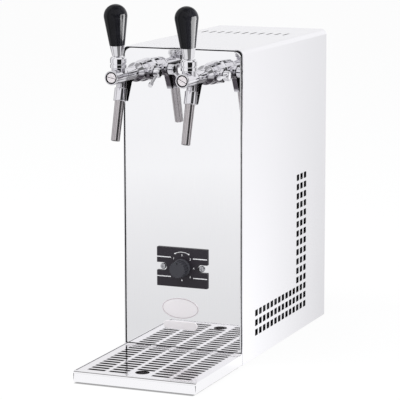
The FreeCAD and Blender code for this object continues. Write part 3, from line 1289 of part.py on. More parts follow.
def make_condenser():
    """Serpentine tube through plate fins, between two end plates that stand on the pan."""
    y = CONDENSER_FRONT_Y + CONDENSER_DEPTH / 2
    rear = CONDENSER_FRONT_Y + CONDENSER_DEPTH
    pitch = (CONDENSER_TUBE_TOP - CONDENSER_TUBE_BOTTOM) / (TUBE_ROWS - 1)
    points = [V(PORT_X, PORT_FRONT_Y, CONDENSER_TUBE_TOP), V(PORT_X, y, CONDENSER_TUBE_TOP)]
    x = -PORT_X
    for row in range(TUBE_ROWS - 1):
        z = CONDENSER_TUBE_TOP - row * pitch
        points.append(V(x, y, z))
        points.append(V(x, y, z - pitch))
        x = -x
    points.append(V(PORT_X, y, CONDENSER_TUBE_BOTTOM))
    points.append(V(PORT_X, PORT_FRONT_Y, CONDENSER_TUBE_BOTTOM))
    tube = pipe("condenser", points, TUBE_R, 0)
    fin_pitch = (2 * CONDENSER_HALF - FIN_THICKNESS) / (FIN_COUNT - 1)
    pieces = [tube]
    for i in range(FIN_COUNT):
        x0 = -CONDENSER_HALF + i * fin_pitch
        pieces.append(box(x0, x0 + FIN_THICKNESS, CONDENSER_FRONT_Y, rear, CONDENSER_BOTTOM, CONDENSER_TOP))
    for side in (-1, 1):
        x0, x1 = sorted((side * CONDENSER_HALF, side * (CONDENSER_HALF + END_PLATE)))
        pieces.append(box(x0, x1, CONDENSER_FRONT_Y, rear, PAN_TOP, CONDENSER_TOP))
    return fuse(pieces)


def make_shroud():
    """Box round the fan with a round inlet, and three arms to the ring that holds the motor."""
    z0 = SHROUD_BOTTOM
    z1 = SHROUD_TOP
    y0 = SHROUD_FRONT_Y
    half = CONDENSER_HALF
    centre = V(0, y0, FAN_Z)
    outer = box(-half, half, y0, CONDENSER_FRONT_Y, z0, z1)
    inner = box(-half + SHROUD_SHEET, half - SHROUD_SHEET, y0 + SHROUD_SHEET, CONDENSER_FRONT_Y + 1,
                z0 + SHROUD_SHEET, z1 - SHROUD_SHEET)
    mouth = rod(FAN_R + FAN_TIP_GAP, centre - Y_AXIS, centre + Y_AXIS * (SHROUD_SHEET + 1))
    frame = outer.cut(inner).cut(mouth)
    ring_r = MOTOR_R + MOTOR_CLEARANCE
    ring_front = centre - Y_AXIS * MOTOR_RING
    hole = rod(ring_r, ring_front - Y_AXIS, centre + Y_AXIS)
    ring = rod(ring_r + SHROUD_SHEET, ring_front, centre).cut(hole)
    pieces = [frame, ring]
    reach = FAN_R + FAN_TIP_GAP + ARM_LAP
    for i in range(ARM_COUNT):
        arm = box(ring_r + SHROUD_SHEET / 2, reach, y0 - ARM_WIDTH / 2, y0, -ARM_WIDTH / 2, ARM_WIDTH / 2)
        arm.rotate(V(0, 0, 0), Y_AXIS, 90 + 360 / ARM_COUNT * i)
        arm.translate(V(0, 0, FAN_Z))
        pieces.append(arm)
    for side in (-1, 1):
        x = side * (half - ARM_WIDTH)
        pieces.append(box(x - ARM_WIDTH / 2, x + ARM_WIDTH / 2, y0, y0 + SHROUD_SHEET, PAN_TOP, z0 + 1))
    return fuse(pieces)


def make_motor():
    front = V(0, SHROUD_FRONT_Y - MOTOR_LENGTH, FAN_Z)
    rear = V(0, SHROUD_FRONT_Y, FAN_Z)
    body = turned([(0, 0), (MOTOR_R, 0), (MOTOR_R, MOTOR_LENGTH), (0, MOTOR_LENGTH)], [0, MOTOR_EDGE, 0, 0],
                  front, Y_AXIS, X_AXIS)
    bore = rod(MOTOR_SHAFT_R + SHAFT_CLEARANCE, rear - Y_AXIS * (MOTOR_PIN + SHAFT_END_GAP), rear + Y_AXIS)
    return body.cut(bore)


def make_fan():
    """Hub with its steel pin and pitched blades, trimmed to the fan's circle."""
    front = V(0, FAN_FRONT_Y, FAN_Z)
    rear = front + Y_AXIS * FAN_DEPTH
    hub = rod(FAN_HUB_R, front, rear)
    pin_front = V(0, SHROUD_FRONT_Y - MOTOR_PIN, FAN_Z)
    space = rod(FAN_R, front, rear)
    pieces = [hub, rod(MOTOR_SHAFT_R, pin_front, rear)]
    middle = FAN_FRONT_Y + FAN_DEPTH / 2
    for i in range(FAN_BLADES):
        half = FAN_CHORD / 2
        blade = box(0, FAN_R + 1, -half, half, -FAN_BLADE_SHEET / 2, FAN_BLADE_SHEET / 2)
        blade.rotate(V(0, 0, 0), X_AXIS, FAN_BLADE_PITCH)
        blade.rotate(V(0, 0, 0), Y_AXIS, 360 / FAN_BLADES * i)
        blade.translate(V(0, middle, FAN_Z))
        pieces.append(blade.common(space))
    return fuse(pieces)


def make_drier():
    profile = [(0, DRIER_BOTTOM), (LINE_R, DRIER_BOTTOM), (DRIER_R, DRIER_BOTTOM + DRIER_CONE),
               (DRIER_R, DRIER_TOP - DRIER_CONE), (LINE_R, DRIER_TOP), (0, DRIER_TOP)]
    return turned(profile, [0] * 6, V(DRIER_X, DRIER_Y, 0), Z_AXIS, X_AXIS)


def make_discharge_line():
    z = dome_height(DISCHARGE_X, DISCHARGE_Y) + STUB_OUT
    points = [V(DISCHARGE_X, DISCHARGE_Y, z), V(DISCHARGE_X, DISCHARGE_Y, z + DISCHARGE_RISE),
              V(PORT_X, DISCHARGE_Y + DISCHARGE_RUN, CONDENSER_TUBE_TOP),
              V(PORT_X, PORT_FRONT_Y, CONDENSER_TUBE_TOP)]
    return pipe("discharge_line", points, LINE_R, LINE_BORE_R)


def make_liquid_line():
    """Tube from the condenser to the drier, and from the drier up to the block."""
    low = CONDENSER_TUBE_BOTTOM
    bend = LIQUID_BEND
    lower = [V(PORT_X, PORT_FRONT_Y, low), V(PORT_X, PORT_FRONT_Y - bend, low),
             V(DRIER_X, DRIER_Y, low + bend), V(DRIER_X, DRIER_Y, DRIER_BOTTOM)]
    upper = [V(DRIER_X, DRIER_Y, DRIER_TOP), V(DRIER_X, DRIER_Y, DRIER_TOP + bend),
             V(LIQUID_X, DRIER_Y, SHELF_Z - bend), V(LIQUID_X, DRIER_Y, BLOCK_BOTTOM)]
    return group([pipe("liquid_line below the drier", lower, LINE_R, LINE_BORE_R),
                  pipe("liquid_line above the drier", upper, LINE_R, LINE_BORE_R)])


def make_suction_line():
    z = dome_height(SUCTION_X, SUCTION_Y) + STUB_OUT
    return pipe("suction_line", [V(SUCTION_X, SUCTION_Y, z), V(SUCTION_X, SUCTION_Y, BLOCK_BOTTOM)],
                LINE_R, LINE_BORE_R)


def make_block():
    """Aluminium cast round its coils, with the pocket for the thermostat's bulb."""
    block = box(-BLOCK_HALF, BLOCK_HALF, BLOCK_FRONT_Y, BLOCK_REAR_Y, BLOCK_BOTTOM, BLOCK_TOP)
    pocket_end = BLOCK_FRONT_Y + BULB_START + BULB_LENGTH + 1
    pocket = rod(BULB_R + BULB_CLEARANCE, V(BULB_X, BLOCK_FRONT_Y - 1, BULB_Z), V(BULB_X, pocket_end, BULB_Z))
    return block.cut(pocket)


def make_foam():
    """Insulation round the block, open only where tubes pass."""
    foam = box(-FOAM_HALF, FOAM_HALF, FOAM_FRONT_Y, FOAM_REAR_Y, SHELF_TOP, FOAM_TOP)
    gap = FOAM_HOLE_CLEARANCE
    line = LINE_R + gap
    cuts = [box(-BLOCK_HALF, BLOCK_HALF, BLOCK_FRONT_Y, BLOCK_REAR_Y, BLOCK_BOTTOM, BLOCK_TOP),
            rod(line, V(SUCTION_X, SUCTION_Y, SHELF_TOP - 1), V(SUCTION_X, SUCTION_Y, BLOCK_BOTTOM + 1)),
            rod(line, V(LIQUID_X, DRIER_Y, SHELF_TOP - 1), V(LIQUID_X, DRIER_Y, BLOCK_BOTTOM + 1)),
            rod(BULB_R + BULB_CLEARANCE, V(BULB_X, FOAM_FRONT_Y - 1, BULB_Z),
                V(BULB_X, BLOCK_FRONT_Y + 1, BULB_Z))]
    for x in (-INLET_X, INLET_X):
        cuts.append(rod(BEER_TUBE_R + gap, V(x, BLOCK_REAR_Y - 1, INLET_Z), V(x, FOAM_REAR_Y + 1, INLET_Z)))
    for side in (-1, 1):
        cuts.append(pipe("outlet hole", outlet_route(side), BEER_TUBE_R + gap, 0))
    for cutter in cuts:
        foam = foam.cut(cutter)
    return foam


def outlet_route(side):
    """Points of the tube from a tap's shank down to the block."""
    return [V(side * TAP_X, SHANK_REAR_Y, TAP_Z), V(side * TAP_X, OUTLET_FIRST_Y, TAP_Z),
            V(side * OUTLET_X, OUTLET_SECOND_Y, OUTLET_Z), V(side * OUTLET_X, BLOCK_FRONT_Y, OUTLET_Z)]


def make_beer_tubes():
    """Tubes from the inlet stems to the block, and from the block to the shanks."""
    tubes = []
    for side in (-1, 1):
        x = side * INLET_X
        ends = [V(x, BLOCK_REAR_Y, INLET_Z), V(x, REAR_INNER_Y - STEM_IN, INLET_Z)]
        tubes.append(pipe("beer_tubes", ends, BEER_TUBE_R, BEER_TUBE_BORE_R))
        tubes.append(pipe("beer_tubes", outlet_route(side), BEER_TUBE_R, BEER_TUBE_BORE_R))
    return group(tubes)


def stem_places():
    return [(-INLET_X, INLET_Z), (INLET_X, INLET_Z), (AIR_X, SERVICE_Z)]


def make_stems():
    """Smooth hose stems through the rear panel, each with its hexagon outside."""
    stems = []
    for x, z in stem_places():
        y0 = REAR_INNER_Y - STEM_IN
        y1 = REAR_FACE_Y + STEM_HEX_THICKNESS
        y2 = y1 + STEM_OUT
        collar = hexagon(STEM_HEX, V(x, REAR_FACE_Y, z), V(x, y1, z))
        bore = rod(STEM_TUBE_BORE_R, V(x, y0 - 1, z), V(x, y2 + 1, z))
        stems.append(fuse([rod(STEM_TUBE_R, V(x, y0, z), V(x, y2, z)), collar]).cut(bore))
    return group(stems)


def make_power_inlet():
    """Appliance inlet: flange on the rear panel, cavity and three blades."""
    x = INLET_SOCKET_X
    z = SERVICE_Z
    half_x = SOCKET_BODY_X / 2
    half_z = SOCKET_BODY_Z / 2
    face = REAR_FACE_Y + SOCKET_FLANGE_THICKNESS
    floor = face - SOCKET_CAVITY
    body = box(x - half_x, x + half_x, REAR_FACE_Y - SOCKET_BODY_DEPTH, REAR_FACE_Y, z - half_z, z + half_z)
    flange = prism_y(x - half_x - SOCKET_FLANGE, x + half_x + SOCKET_FLANGE, z - half_z - SOCKET_FLANGE,
                     z + half_z + SOCKET_FLANGE, [SOCKET_CORNER_R] * 4, REAR_FACE_Y, face)
    cavity = box(x - half_x + SOCKET_WALL, x + half_x - SOCKET_WALL, floor, face + 1,
                 z - half_z + SOCKET_WALL, z + half_z - SOCKET_WALL)
    inlet = body.fuse(flange).cut(cavity)
    blades = []
    for i in (-1, 0, 1):
        blade_z = z + BLADE_RAISE if i == 0 else z - BLADE_RAISE
        blade_x = x + i * BLADE_PITCH
        blades.append(box(blade_x - BLADE_X / 2, blade_x + BLADE_X / 2, floor - 1, floor + BLADE_OUT,
                          blade_z - BLADE_Z / 2, blade_z + BLADE_Z / 2))
    return fuse([inlet] + blades)


def make_switch_frame():
    half_x = SWITCH_X / 2
    half_z = SWITCH_Z / 2
    z = SERVICE_Z
    face = REAR_FACE_Y + SWITCH_FLANGE_THICKNESS
    body = box(-half_x, half_x, REAR_FACE_Y - SWITCH_DEPTH, REAR_FACE_Y, z - half_z, z + half_z)
    flange = box(-half_x - SWITCH_FLANGE, half_x + SWITCH_FLANGE, REAR_FACE_Y, face,
                 z - half_z - SWITCH_FLANGE, z + half_z + SWITCH_FLANGE)
    floor = REAR_FACE_Y - SWITCH_DEPTH + SWITCH_WALL
    well = box(-half_x + SWITCH_WALL, half_x - SWITCH_WALL, floor, face + 1,
               z - half_z + SWITCH_WALL, z + half_z - SWITCH_WALL)
    pin_y = REAR_FACE_Y - ROCKER_PIVOT_IN
    hole = rod(ROCKER_PIN_R + ROCKER_PIN_CLEARANCE, V(-half_x - 1, pin_y, z), V(half_x + 1, pin_y, z))
    return body.fuse(flange).removeSplitter().cut(well).cut(hole)


def make_rocker():
    """Rocker with a hollowed face, on a pin, tipped to its off side."""
    half_x = SWITCH_X / 2 - SWITCH_WALL - ROCKER_CLEARANCE
    half_z = SWITCH_Z / 2 - SWITCH_WALL - ROCKER_SWING_ROOM
    low = ROCKER_FACE - ROCKER_EDGE
    outline = [(-ROCKER_BACK, -half_z / 2, 0), (low, -half_z, 0), (ROCKER_FACE, -half_z, ROCKER_EDGE_R),
               (ROCKER_FACE - ROCKER_DISH, 0, ROCKER_DISH_R), (ROCKER_FACE, half_z, ROCKER_EDGE_R),
               (low, half_z, 0), (-ROCKER_BACK, half_z / 2, 0)]
    rocker = prism_x(outline, half_x)
    rocker = fuse([rocker, rod(ROCKER_PIN_R, V(-SWITCH_X / 2, 0, 0), V(SWITCH_X / 2, 0, 0))])
    rocker.rotate(V(0, 0, 0), X_AXIS, -ROCKER_TILT)
    rocker.translate(V(0, REAR_FACE_Y - ROCKER_PIVOT_IN, SERVICE_Z))
    return rocker


def make_air_pump():
    """Motor across a base plate, with the pump's head and its outlet."""
    half = PUMP_WIDTH / 2
    y0 = PUMP_Y - PUMP_DEPTH / 2
    y1 = PUMP_Y + PUMP_DEPTH / 2
    base_top = PAN_TOP + PUMP_BASE
    axis_z = base_top + PUMP_MOTOR_R - 1
    head_y = y1 - PUMP_HEAD
    head_half = half - PUMP_STEP
    outlet = pump_outlet()
    pieces = [box(PUMP_X - half, PUMP_X + half, y0, y1, PAN_TOP, base_top),
              rod(PUMP_MOTOR_R, V(PUMP_X, y0 + PUMP_STEP, axis_z), V(PUMP_X, head_y + 1, axis_z)),
              box(PUMP_X - head_half, PUMP_X + head_half, head_y, y1, base_top - 1, PUMP_TOP),
              rod(STUB_R, outlet - Z_AXIS * (STUB_OUT + 1), outlet)]
    return fuse(pieces)


def pump_outlet():
    """End of the pump's outlet stub, where the hose starts."""
    return V(PUMP_X - PUMP_OUTLET, PUMP_Y + PUMP_DEPTH / 2 - PUMP_HEAD / 2, PUMP_TOP + STUB_OUT)


def make_air_hose():
    """Hose from the pump, up beside the side wall and back to the air stem."""
    start = pump_outlet()
    points = [start, start + Z_AXIS * HOSE_RISE,
              V(HOSE_SIDE_X, start.y + HOSE_RUN, SERVICE_Z - HOSE_RUN),
              V(HOSE_SIDE_X, HOSE_TURN_Y, SERVICE_Z - HOSE_DROP),
              V(AIR_X, PORT_FRONT_Y, SERVICE_Z), V(AIR_X, REAR_INNER_Y - STEM_IN, SERVICE_Z)]
    return pipe("air_hose", points, HOSE_R, HOSE_BORE_R)


def main():
    os.makedirs("parts", exist_ok=True)
    save("base_pan", make_base_pan())
    save("outer_cover", make_cover())
    save("front_panel", make_front_panel())
    save("edge_seal", make_edge_seal())
    save("rear_panel", make_rear_panel())
    save("inner_frame", make_inner_frame())
    save("rubber_feet", make_feet())
    save("casing_screws", make_rear_screws())
    save("control_plate", make_control_plate())
    save("control_screws", make_control_screws())
    save("thermostat_knob", make_knob())
    save("thermostat_shaft", make_shaft())
    save("thermostat_body", make_thermostat_body())
    save("thermostat_bulb", make_thermostat_bulb())
    save("oval_badge", make_oval_badge())
    save("small_badge", make_small_badge())
    save("drip_tray", make_tray())
    save("drip_grid", make_grid())
    taps = ((-1, "left_", LEFT_COMP_ANGLE, LEFT_PLUG_TURN), (1, "right_", RIGHT_COMP_ANGLE, RIGHT_PLUG_TURN))
    for side, name, angle, turn in taps:
        save(name + "tap_body", at_tap(make_tap_body(), side))
        save(name + "top_nut", at_tap(make_top_nut(), side))
        save(name + "tap_lever", at_tap(make_lever(), side))
        save(name + "handle_grip", at_tap(make_grip(), side))
        save(name + "front_plug", at_tap(make_front_plug(turn), side))
        save(name + "valve_plunger", at_tap(make_plunger(), side))
        save(name + "comp_cone", at_tap(make_comp_cone(angle), side))
        save(name + "comp_lever", at_tap(make_comp_lever(angle), side))
        save(name + "spout", at_tap(make_spout(), side))
        save(name + "rosette", at_tap(make_rosette(), side))
        save(name + "shank", at_tap(make_shank(), side))
    save("panel_nuts", make_panel_nuts())
    save("compressor", make_compressor())
    save("compressor_grommets", make_grommets())
    save("condenser", make_condenser())
    save("fan_shroud", make_shroud())
    save("fan_motor", make_motor())
    save("fan_blade", make_fan())
    save("filter_drier", make_drier())
    save("discharge_line", make_discharge_line())
    save("liquid_line", make_liquid_line())
    save("suction_line", make_suction_line())
    save("cooling_block", make_block())
    save("insulation_shell", make_foam())
    save("beer_tubes", make_beer_tubes())
    save("hose_stems", make_stems())
    save("power_inlet", make_power_inlet())
    save("switch_frame", make_switch_frame())
    save("switch_rocker", make_rocker())
    save("air_pump", make_air_pump())
    save("air_hose", make_air_hose())


main()
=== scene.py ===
import math

import bmesh
import bpy
from mathutils import Matrix, Vector


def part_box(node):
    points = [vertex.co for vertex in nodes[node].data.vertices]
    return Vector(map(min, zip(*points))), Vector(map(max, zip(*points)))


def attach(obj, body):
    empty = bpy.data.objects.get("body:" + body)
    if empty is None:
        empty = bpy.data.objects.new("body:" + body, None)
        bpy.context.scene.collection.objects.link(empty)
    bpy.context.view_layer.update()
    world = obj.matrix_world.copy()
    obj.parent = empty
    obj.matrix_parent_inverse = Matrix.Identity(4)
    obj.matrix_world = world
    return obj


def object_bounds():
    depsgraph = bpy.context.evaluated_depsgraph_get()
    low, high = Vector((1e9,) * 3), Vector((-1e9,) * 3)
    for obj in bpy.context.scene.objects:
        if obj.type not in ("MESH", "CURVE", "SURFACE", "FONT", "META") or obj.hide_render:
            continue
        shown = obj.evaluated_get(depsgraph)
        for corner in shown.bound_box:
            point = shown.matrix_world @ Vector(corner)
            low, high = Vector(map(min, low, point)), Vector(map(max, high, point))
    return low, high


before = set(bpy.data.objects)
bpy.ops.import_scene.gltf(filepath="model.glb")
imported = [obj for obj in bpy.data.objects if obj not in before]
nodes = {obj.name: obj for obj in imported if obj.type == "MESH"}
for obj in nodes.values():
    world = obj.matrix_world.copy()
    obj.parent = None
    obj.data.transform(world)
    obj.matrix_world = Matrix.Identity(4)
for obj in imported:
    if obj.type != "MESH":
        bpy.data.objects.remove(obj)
cad_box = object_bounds()

MM = 0.001
tray_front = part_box("drip_tray")[0][1]
plug_low, plug_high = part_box("right_front_plug")
# The right tap's axis: X and Z. The left one lies at minus X.
tap_axis = ((plug_low[0] + plug_high[0]) / 2, (plug_low[2] + plug_high[2]) / 2)


# Node helpers

EVEN = (1, 1, 1)
NOISE_ROUGHNESS = 0.55
# Noise seldom leaves this range
NOISE_RANGE = (0.35, 0.65)
# Share of the fine grain in a surface's tone; the rest is the slow cloud
FINE_SHARE = 0.6
FINE_DETAIL = 4.0
SLOW_DETAIL = 2.0


def new_material(name):
    material = bpy.data.materials.new(name)
    material.use_nodes = True
    tree = material.node_tree
    tree.nodes.clear()
    out = tree.nodes.new("ShaderNodeOutputMaterial")
    shader = tree.nodes.new("ShaderNodeBsdfPrincipled")
    tree.links.new(shader.outputs["BSDF"], out.inputs["Surface"])
    return material, tree, shader


def object_parts(tree):
    """X, Y and Z of a place in the frame."""
    place = tree.nodes.new("ShaderNodeTexCoord")
    parts = tree.nodes.new("ShaderNodeSeparateXYZ")
    tree.links.new(place.outputs["Object"], parts.inputs[0])
    return parts.outputs


def noise(tree, scale, stretch=EVEN, detail=3.0):
    place = tree.nodes.new("ShaderNodeTexCoord")
    mapping = tree.nodes.new("ShaderNodeMapping")
    mapping.inputs["Scale"].default_value = stretch
    tree.links.new(place.outputs["Object"], mapping.inputs["Vector"])
    node = tree.nodes.new("ShaderNodeTexNoise")
    node.inputs["Scale"].default_value = scale
    node.inputs["Detail"].default_value = detail
    node.inputs["Roughness"].default_value = NOISE_ROUGHNESS
    tree.links.new(mapping.outputs["Vector"], node.inputs["Vector"])
    return node.outputs["Fac"]


def maths(tree, operation, *values, clamp=False):
    node = tree.nodes.new("ShaderNodeMath")
    node.operation = operation
    node.use_clamp = clamp
    for socket, value in zip(node.inputs, values):
        if isinstance(value, (int, float)):
            socket.default_value = value
        else:
            tree.links.new(value, socket)
    return node.outputs[0]


def product(tree, first, *others):
    for other in others:
        first = maths(tree, "MULTIPLY", first, other)
    return first


def spread(tree, source, low, high, start, end):
    """From low at start to high at end, and level beyond them."""
    node = tree.nodes.new("ShaderNodeMapRange")
    node.inputs["From Min"].default_value = start
    node.inputs["From Max"].default_value = end
    node.inputs["To Min"].default_value = low
    node.inputs["To Max"].default_value = high
    tree.links.new(source, node.inputs["Value"])
    return node.outputs["Result"]


def rise(tree, source, start, end):
    return spread(tree, source, 0, 1, start, end)


def fall(tree, source, start, end):
    return spread(tree, source, 1, 0, start, end)


def window(tree, source, low, high, soft):
    """1 between low and high, falling to 0 over the width soft outside them."""
    return product(tree, rise(tree, source, low - soft, low), fall(tree, source, high, high + soft))


def mix(tree, share, first, second, kind="RGBA"):
    """What first gives where share is 0, and second where it is 1; a colour is three numbers or a link."""
    node = tree.nodes.new("ShaderNodeMix")
    node.data_type = kind
    for socket, value in zip(("Factor", "A", "B"), (share, first, second)):
        if isinstance(value, float):
            node.inputs[socket].default_value = value
        elif isinstance(value, tuple):
            node.inputs[socket].default_value = (*value, 1)
        else:
            tree.links.new(value, node.inputs[socket])
    return node.outputs["Result"]


def mix_shaders(tree, share, first, second):
    node = tree.nodes.new("ShaderNodeMixShader")
    for socket, value in zip(node.inputs, (share, first, second)):
        tree.links.new(value, socket)
    return node.outputs[0]


def glow(tree, kind, colour, level):
    """Light of one colour from the world (Background) or from a surface (Emission)."""
    node = tree.nodes.new("ShaderNode" + kind)
    node.inputs["Color"].default_value = (*colour, 1)
    if isinstance(level, float):
        node.inputs["Strength"].default_value = level
    else:
        tree.links.new(level, node.inputs["Strength"])
    return node.outputs[0]


def bump(tree, shader, height, strength, distance):
    node = tree.nodes.new("ShaderNodeBump")
    node.inputs["Strength"].default_value = strength
    node.inputs["Distance"].default_value = distance
    tree.links.new(height, node.inputs["Height"])
    tree.links.new(node.outputs["Normal"], shader.inputs["Normal"])


# Studio

# Dark cards round the room, which polished surfaces alone see. Each has its azimuth from and to, in degrees
# from the front towards +X, then the sine of its lower and its upper height, then how dark it is.
ROOM_CARDS = [
    (16, 70, -0.4, 0.03, 0.985),
    (34, 82, 0.08, 0.34, 0.95),
    (-15, 2, 0.20, 0.31, 0.85),
    (6, 26, 0.0, 0.20, 0.9),
    (-140, -122, -0.1, 0.8, 0.5),
    (150, 180, 0.5, 0.92, 0.75),
    (112, 132, -0.1, 0.85, 0.75),
    (-62, -50, -0.3, 0.8, 0.5),
    (-180, 180, 0.94, 1.1, 0.6),
    (-176, -138, -0.05, 0.35, 0.085),
    (-122, -90, -0.1, 0.6, 0.3),
    (86, 110, 0.35, 0.7, 0.8),
]
# The same on the floor, with the distance from the frame's origin in metres in place of the height
FLOOR_CARDS = [
    (16, 70, 0.48, 1.15, 0.75),
    (9, 70, 2.2, 50.0, 0.985),
    (116, 134, 2.2, 50.0, 0.8),
    (-62, -50, 0.5, 50.0, 0.5),
    (-140, -92, 0.5, 50.0, 0.4),
    (172, 180, 0.5, 50.0, 0.7),
    (96, 130, 0.25, 0.6, 0.6),
]
# Width of a card's soft edge: in degrees of azimuth, and in height or distance
EDGE_TURN = 4.0
EDGE_SOFT = 0.06

ROOM_COLOUR = (0.985, 0.99, 1.0)
ROOM_LEVEL = 0.66
MIRROR_COLOUR = (0.985, 0.985, 1.0)
BACKDROP_COLOUR = (0.8, 0.8, 0.8)

FLOOR_HALF = 40.0
FLOOR_COLOUR = (0.87, 0.87, 0.875)
FLOOR_ROUGHNESS = 0.8
# How bright the floor's own white is, and its share in what the camera sees
WHITE_LEVEL = 1.015
WHITE_SHARE = 0.9

# The floor as the front panel mirrors it: near and far level, and the distances that have them
FRONT_LEVELS = (0.795, 0.98)
FRONT_DISTANCES = (0.25, 1.7)
# Close before the tray it is brighter, from these edges in X and Y
NEAR_LEVEL = 1.01
NEAR_X = (-0.116, -0.111)
NEAR_Y = (-0.221, -0.212)
# The floor as the right side mirrors it. The mirrored camera stands this far to the left of the frame's
# origin and before it. The slope of X over Y from there tells which part of the side shows a place.
MIRRORED = (0.91, 2.54)
SIDE_LEVELS = (0.77, 1.16)
SIDE_SLOPES = (0.346, 0.397)
# Past the side's front edge
PAST_LEVEL = 0.90
PAST_SLOPES = (0.406, 0.420)
# The front panel's floor gives way to the side's between these Y
SPLIT_Y = (-0.02, 0.04)
# How dark the painted shadow on the floor under the object is, as polished faces see it
UNDER_SHADOW_DEPTH = 0.95
# How dark the narrow shade along the foot of the tray's front is, and how far it reaches before the tray
FOOT_SHADE = 0.62
FOOT_REACH = 3.5 * MM


def turn_and_parts(tree, place):
    """Azimuth from the front towards +X, and the three parts, of a place or a direction."""
    parts = tree.nodes.new("ShaderNodeSeparateXYZ")
    tree.links.new(place, parts.inputs[0])
    azimuth = maths(tree, "ARCTAN2", parts.outputs["X"], maths(tree, "MULTIPLY", parts.outputs["Y"], -1.0))
    return azimuth, parts.outputs


def dark_card(tree, azimuth, other, card):
    """How dark one card makes what lies at an azimuth and at a height or distance."""
    start, end, low, high, depth = card
    across = window(tree, azimuth, math.radians(start), math.radians(end), math.radians(EDGE_TURN))
    return product(tree, across, window(tree, other, low, high, EDGE_SOFT), depth)


def darkened(tree, azimuth, other, cards, level):
    darkest, *rest = [dark_card(tree, azimuth, other, card) for card in cards]
    for seen in rest:
        darkest = maths(tree, "MAXIMUM", darkest, seen)
    return maths(tree, "MULTIPLY", maths(tree, "SUBTRACT", 1.0, darkest, clamp=True), level)


def make_world():
    """Plain soft light from all round; polished surfaces see the room with its dark cards instead."""
    world = bpy.data.worlds.new("studio")
    bpy.context.scene.world = world
    world.use_nodes = True
    tree = world.node_tree
    tree.nodes.clear()
    out = tree.nodes.new("ShaderNodeOutputWorld")
    path = tree.nodes.new("ShaderNodeLightPath").outputs
    place = tree.nodes.new("ShaderNodeTexCoord")
    azimuth, parts = turn_and_parts(tree, place.outputs["Generated"])
    plain = glow(tree, "Background", ROOM_COLOUR, ROOM_LEVEL)
    room = glow(tree, "Background", MIRROR_COLOUR, darkened(tree, azimuth, parts["Z"], ROOM_CARDS, 1.0))
    backdrop = glow(tree, "Background", BACKDROP_COLOUR, 1.0)
    lit = mix_shaders(tree, path["Is Glossy Ray"], plain, room)
    clear = maths(tree, "MAXIMUM", path["Is Camera Ray"], path["Is Transmission Ray"])
    tree.links.new(mix_shaders(tree, clear, lit, backdrop), out.inputs["Surface"])


def front_floor(tree, x, y, distance):
    """Brightness of the floor as the front panel mirrors it."""
    level = spread(tree, distance, *FRONT_LEVELS, *FRONT_DISTANCES)
    near = product(tree, rise(tree, y, *NEAR_Y), rise(tree, x, *NEAR_X))
    return mix(tree, near, level, NEAR_LEVEL, "FLOAT")


def side_floor(tree, x, y):
    """Brightness of the floor as the right side mirrors it."""
    slope = maths(tree, "DIVIDE", maths(tree, "ADD", x, MIRRORED[0]), maths(tree, "ADD", y, MIRRORED[1]))
    level = spread(tree, slope, *SIDE_LEVELS, *SIDE_SLOPES)
    return mix(tree, rise(tree, slope, *PAST_SLOPES), level, PAST_LEVEL, "FLOAT")


def painted_shadow_under_object(tree, x, y):
    """Painted shadow: how dark the floor under the object is, as polished faces see it."""
    high = cad_box[1]
    across = fall(tree, maths(tree, "ABSOLUTE", x), high[0] - 3 * MM, high[0] - MM)
    return product(tree, across, window(tree, y, tray_front + 0.2 * MM, high[1], MM), UNDER_SHADOW_DEPTH)


def lit_at_foot(tree, x, y):
    """1 on the floor, less in the narrow shade along the foot of the tray's front."""
    half = cad_box[1][0] - 4 * MM
    across = window(tree, x, -half, half, 3 * MM)
    shade = product(tree, window(tree, y, tray_front - FOOT_REACH, tray_front + MM, MM), across, FOOT_SHADE)
    return maths(tree, "SUBTRACT", 1.0, shade)


def mirrored_floor(tree):
    """Brightness of the floor as all polished faces see it."""
    place = tree.nodes.new("ShaderNodeTexCoord").outputs["Object"]
    azimuth, parts = turn_and_parts(tree, place)
    length = tree.nodes.new("ShaderNodeVectorMath")
    length.operation = "LENGTH"
    tree.links.new(place, length.inputs[0])
    distance = length.outputs["Value"]
    x, y = parts["X"], parts["Y"]
    front, side = front_floor(tree, x, y, distance), side_floor(tree, x, y)
    level = mix(tree, rise(tree, y, *SPLIT_Y), front, side, "FLOAT")
    shade = darkened(tree, azimuth, distance, FLOOR_CARDS, level)
    beside = maths(tree, "SUBTRACT", 1.0, painted_shadow_under_object(tree, x, y))
    return product(tree, shade, beside, lit_at_foot(tree, x, y))


def make_floor():
    """White floor that keeps the object's shadow; polished surfaces see the mirrored floor instead."""
    half = FLOOR_HALF
    mesh = bpy.data.meshes.new("floor")
    corners = [(-half, -half, 0), (half, -half, 0), (half, half, 0), (-half, half, 0)]
    mesh.from_pydata(corners, [], [(0, 1, 2, 3)])
    floor = bpy.data.objects.new("floor", mesh)
    bpy.context.scene.collection.objects.link(floor)
    material, tree, shader = new_material("floor_white")
    shader.inputs["Base Color"].default_value = (*FLOOR_COLOUR, 1)
    shader.inputs["Roughness"].default_value = FLOOR_ROUGHNESS
    parts = object_parts(tree)
    foot = lit_at_foot(tree, parts["X"], parts["Y"])
    white = glow(tree, "Emission", (1.0, 1.0, 1.0), maths(tree, "MULTIPLY", foot, WHITE_LEVEL))
    path = tree.nodes.new("ShaderNodeLightPath").outputs
    seen = maths(tree, "MULTIPLY", path["Is Camera Ray"], WHITE_SHARE)
    lit = mix_shaders(tree, seen, shader.outputs[0], white)
    mirrored = glow(tree, "Emission", MIRROR_COLOUR, mirrored_floor(tree))
    share = maths(tree, "MAXIMUM", path["Is Glossy Ray"], path["Is Transmission Ray"])
    out = next(n for n in tree.nodes if n.type == "OUTPUT_MATERIAL")
    tree.links.new(mix_shaders(tree, share, lit, mirrored), out.inputs["Surface"])
    floor.data.materials.append(material)


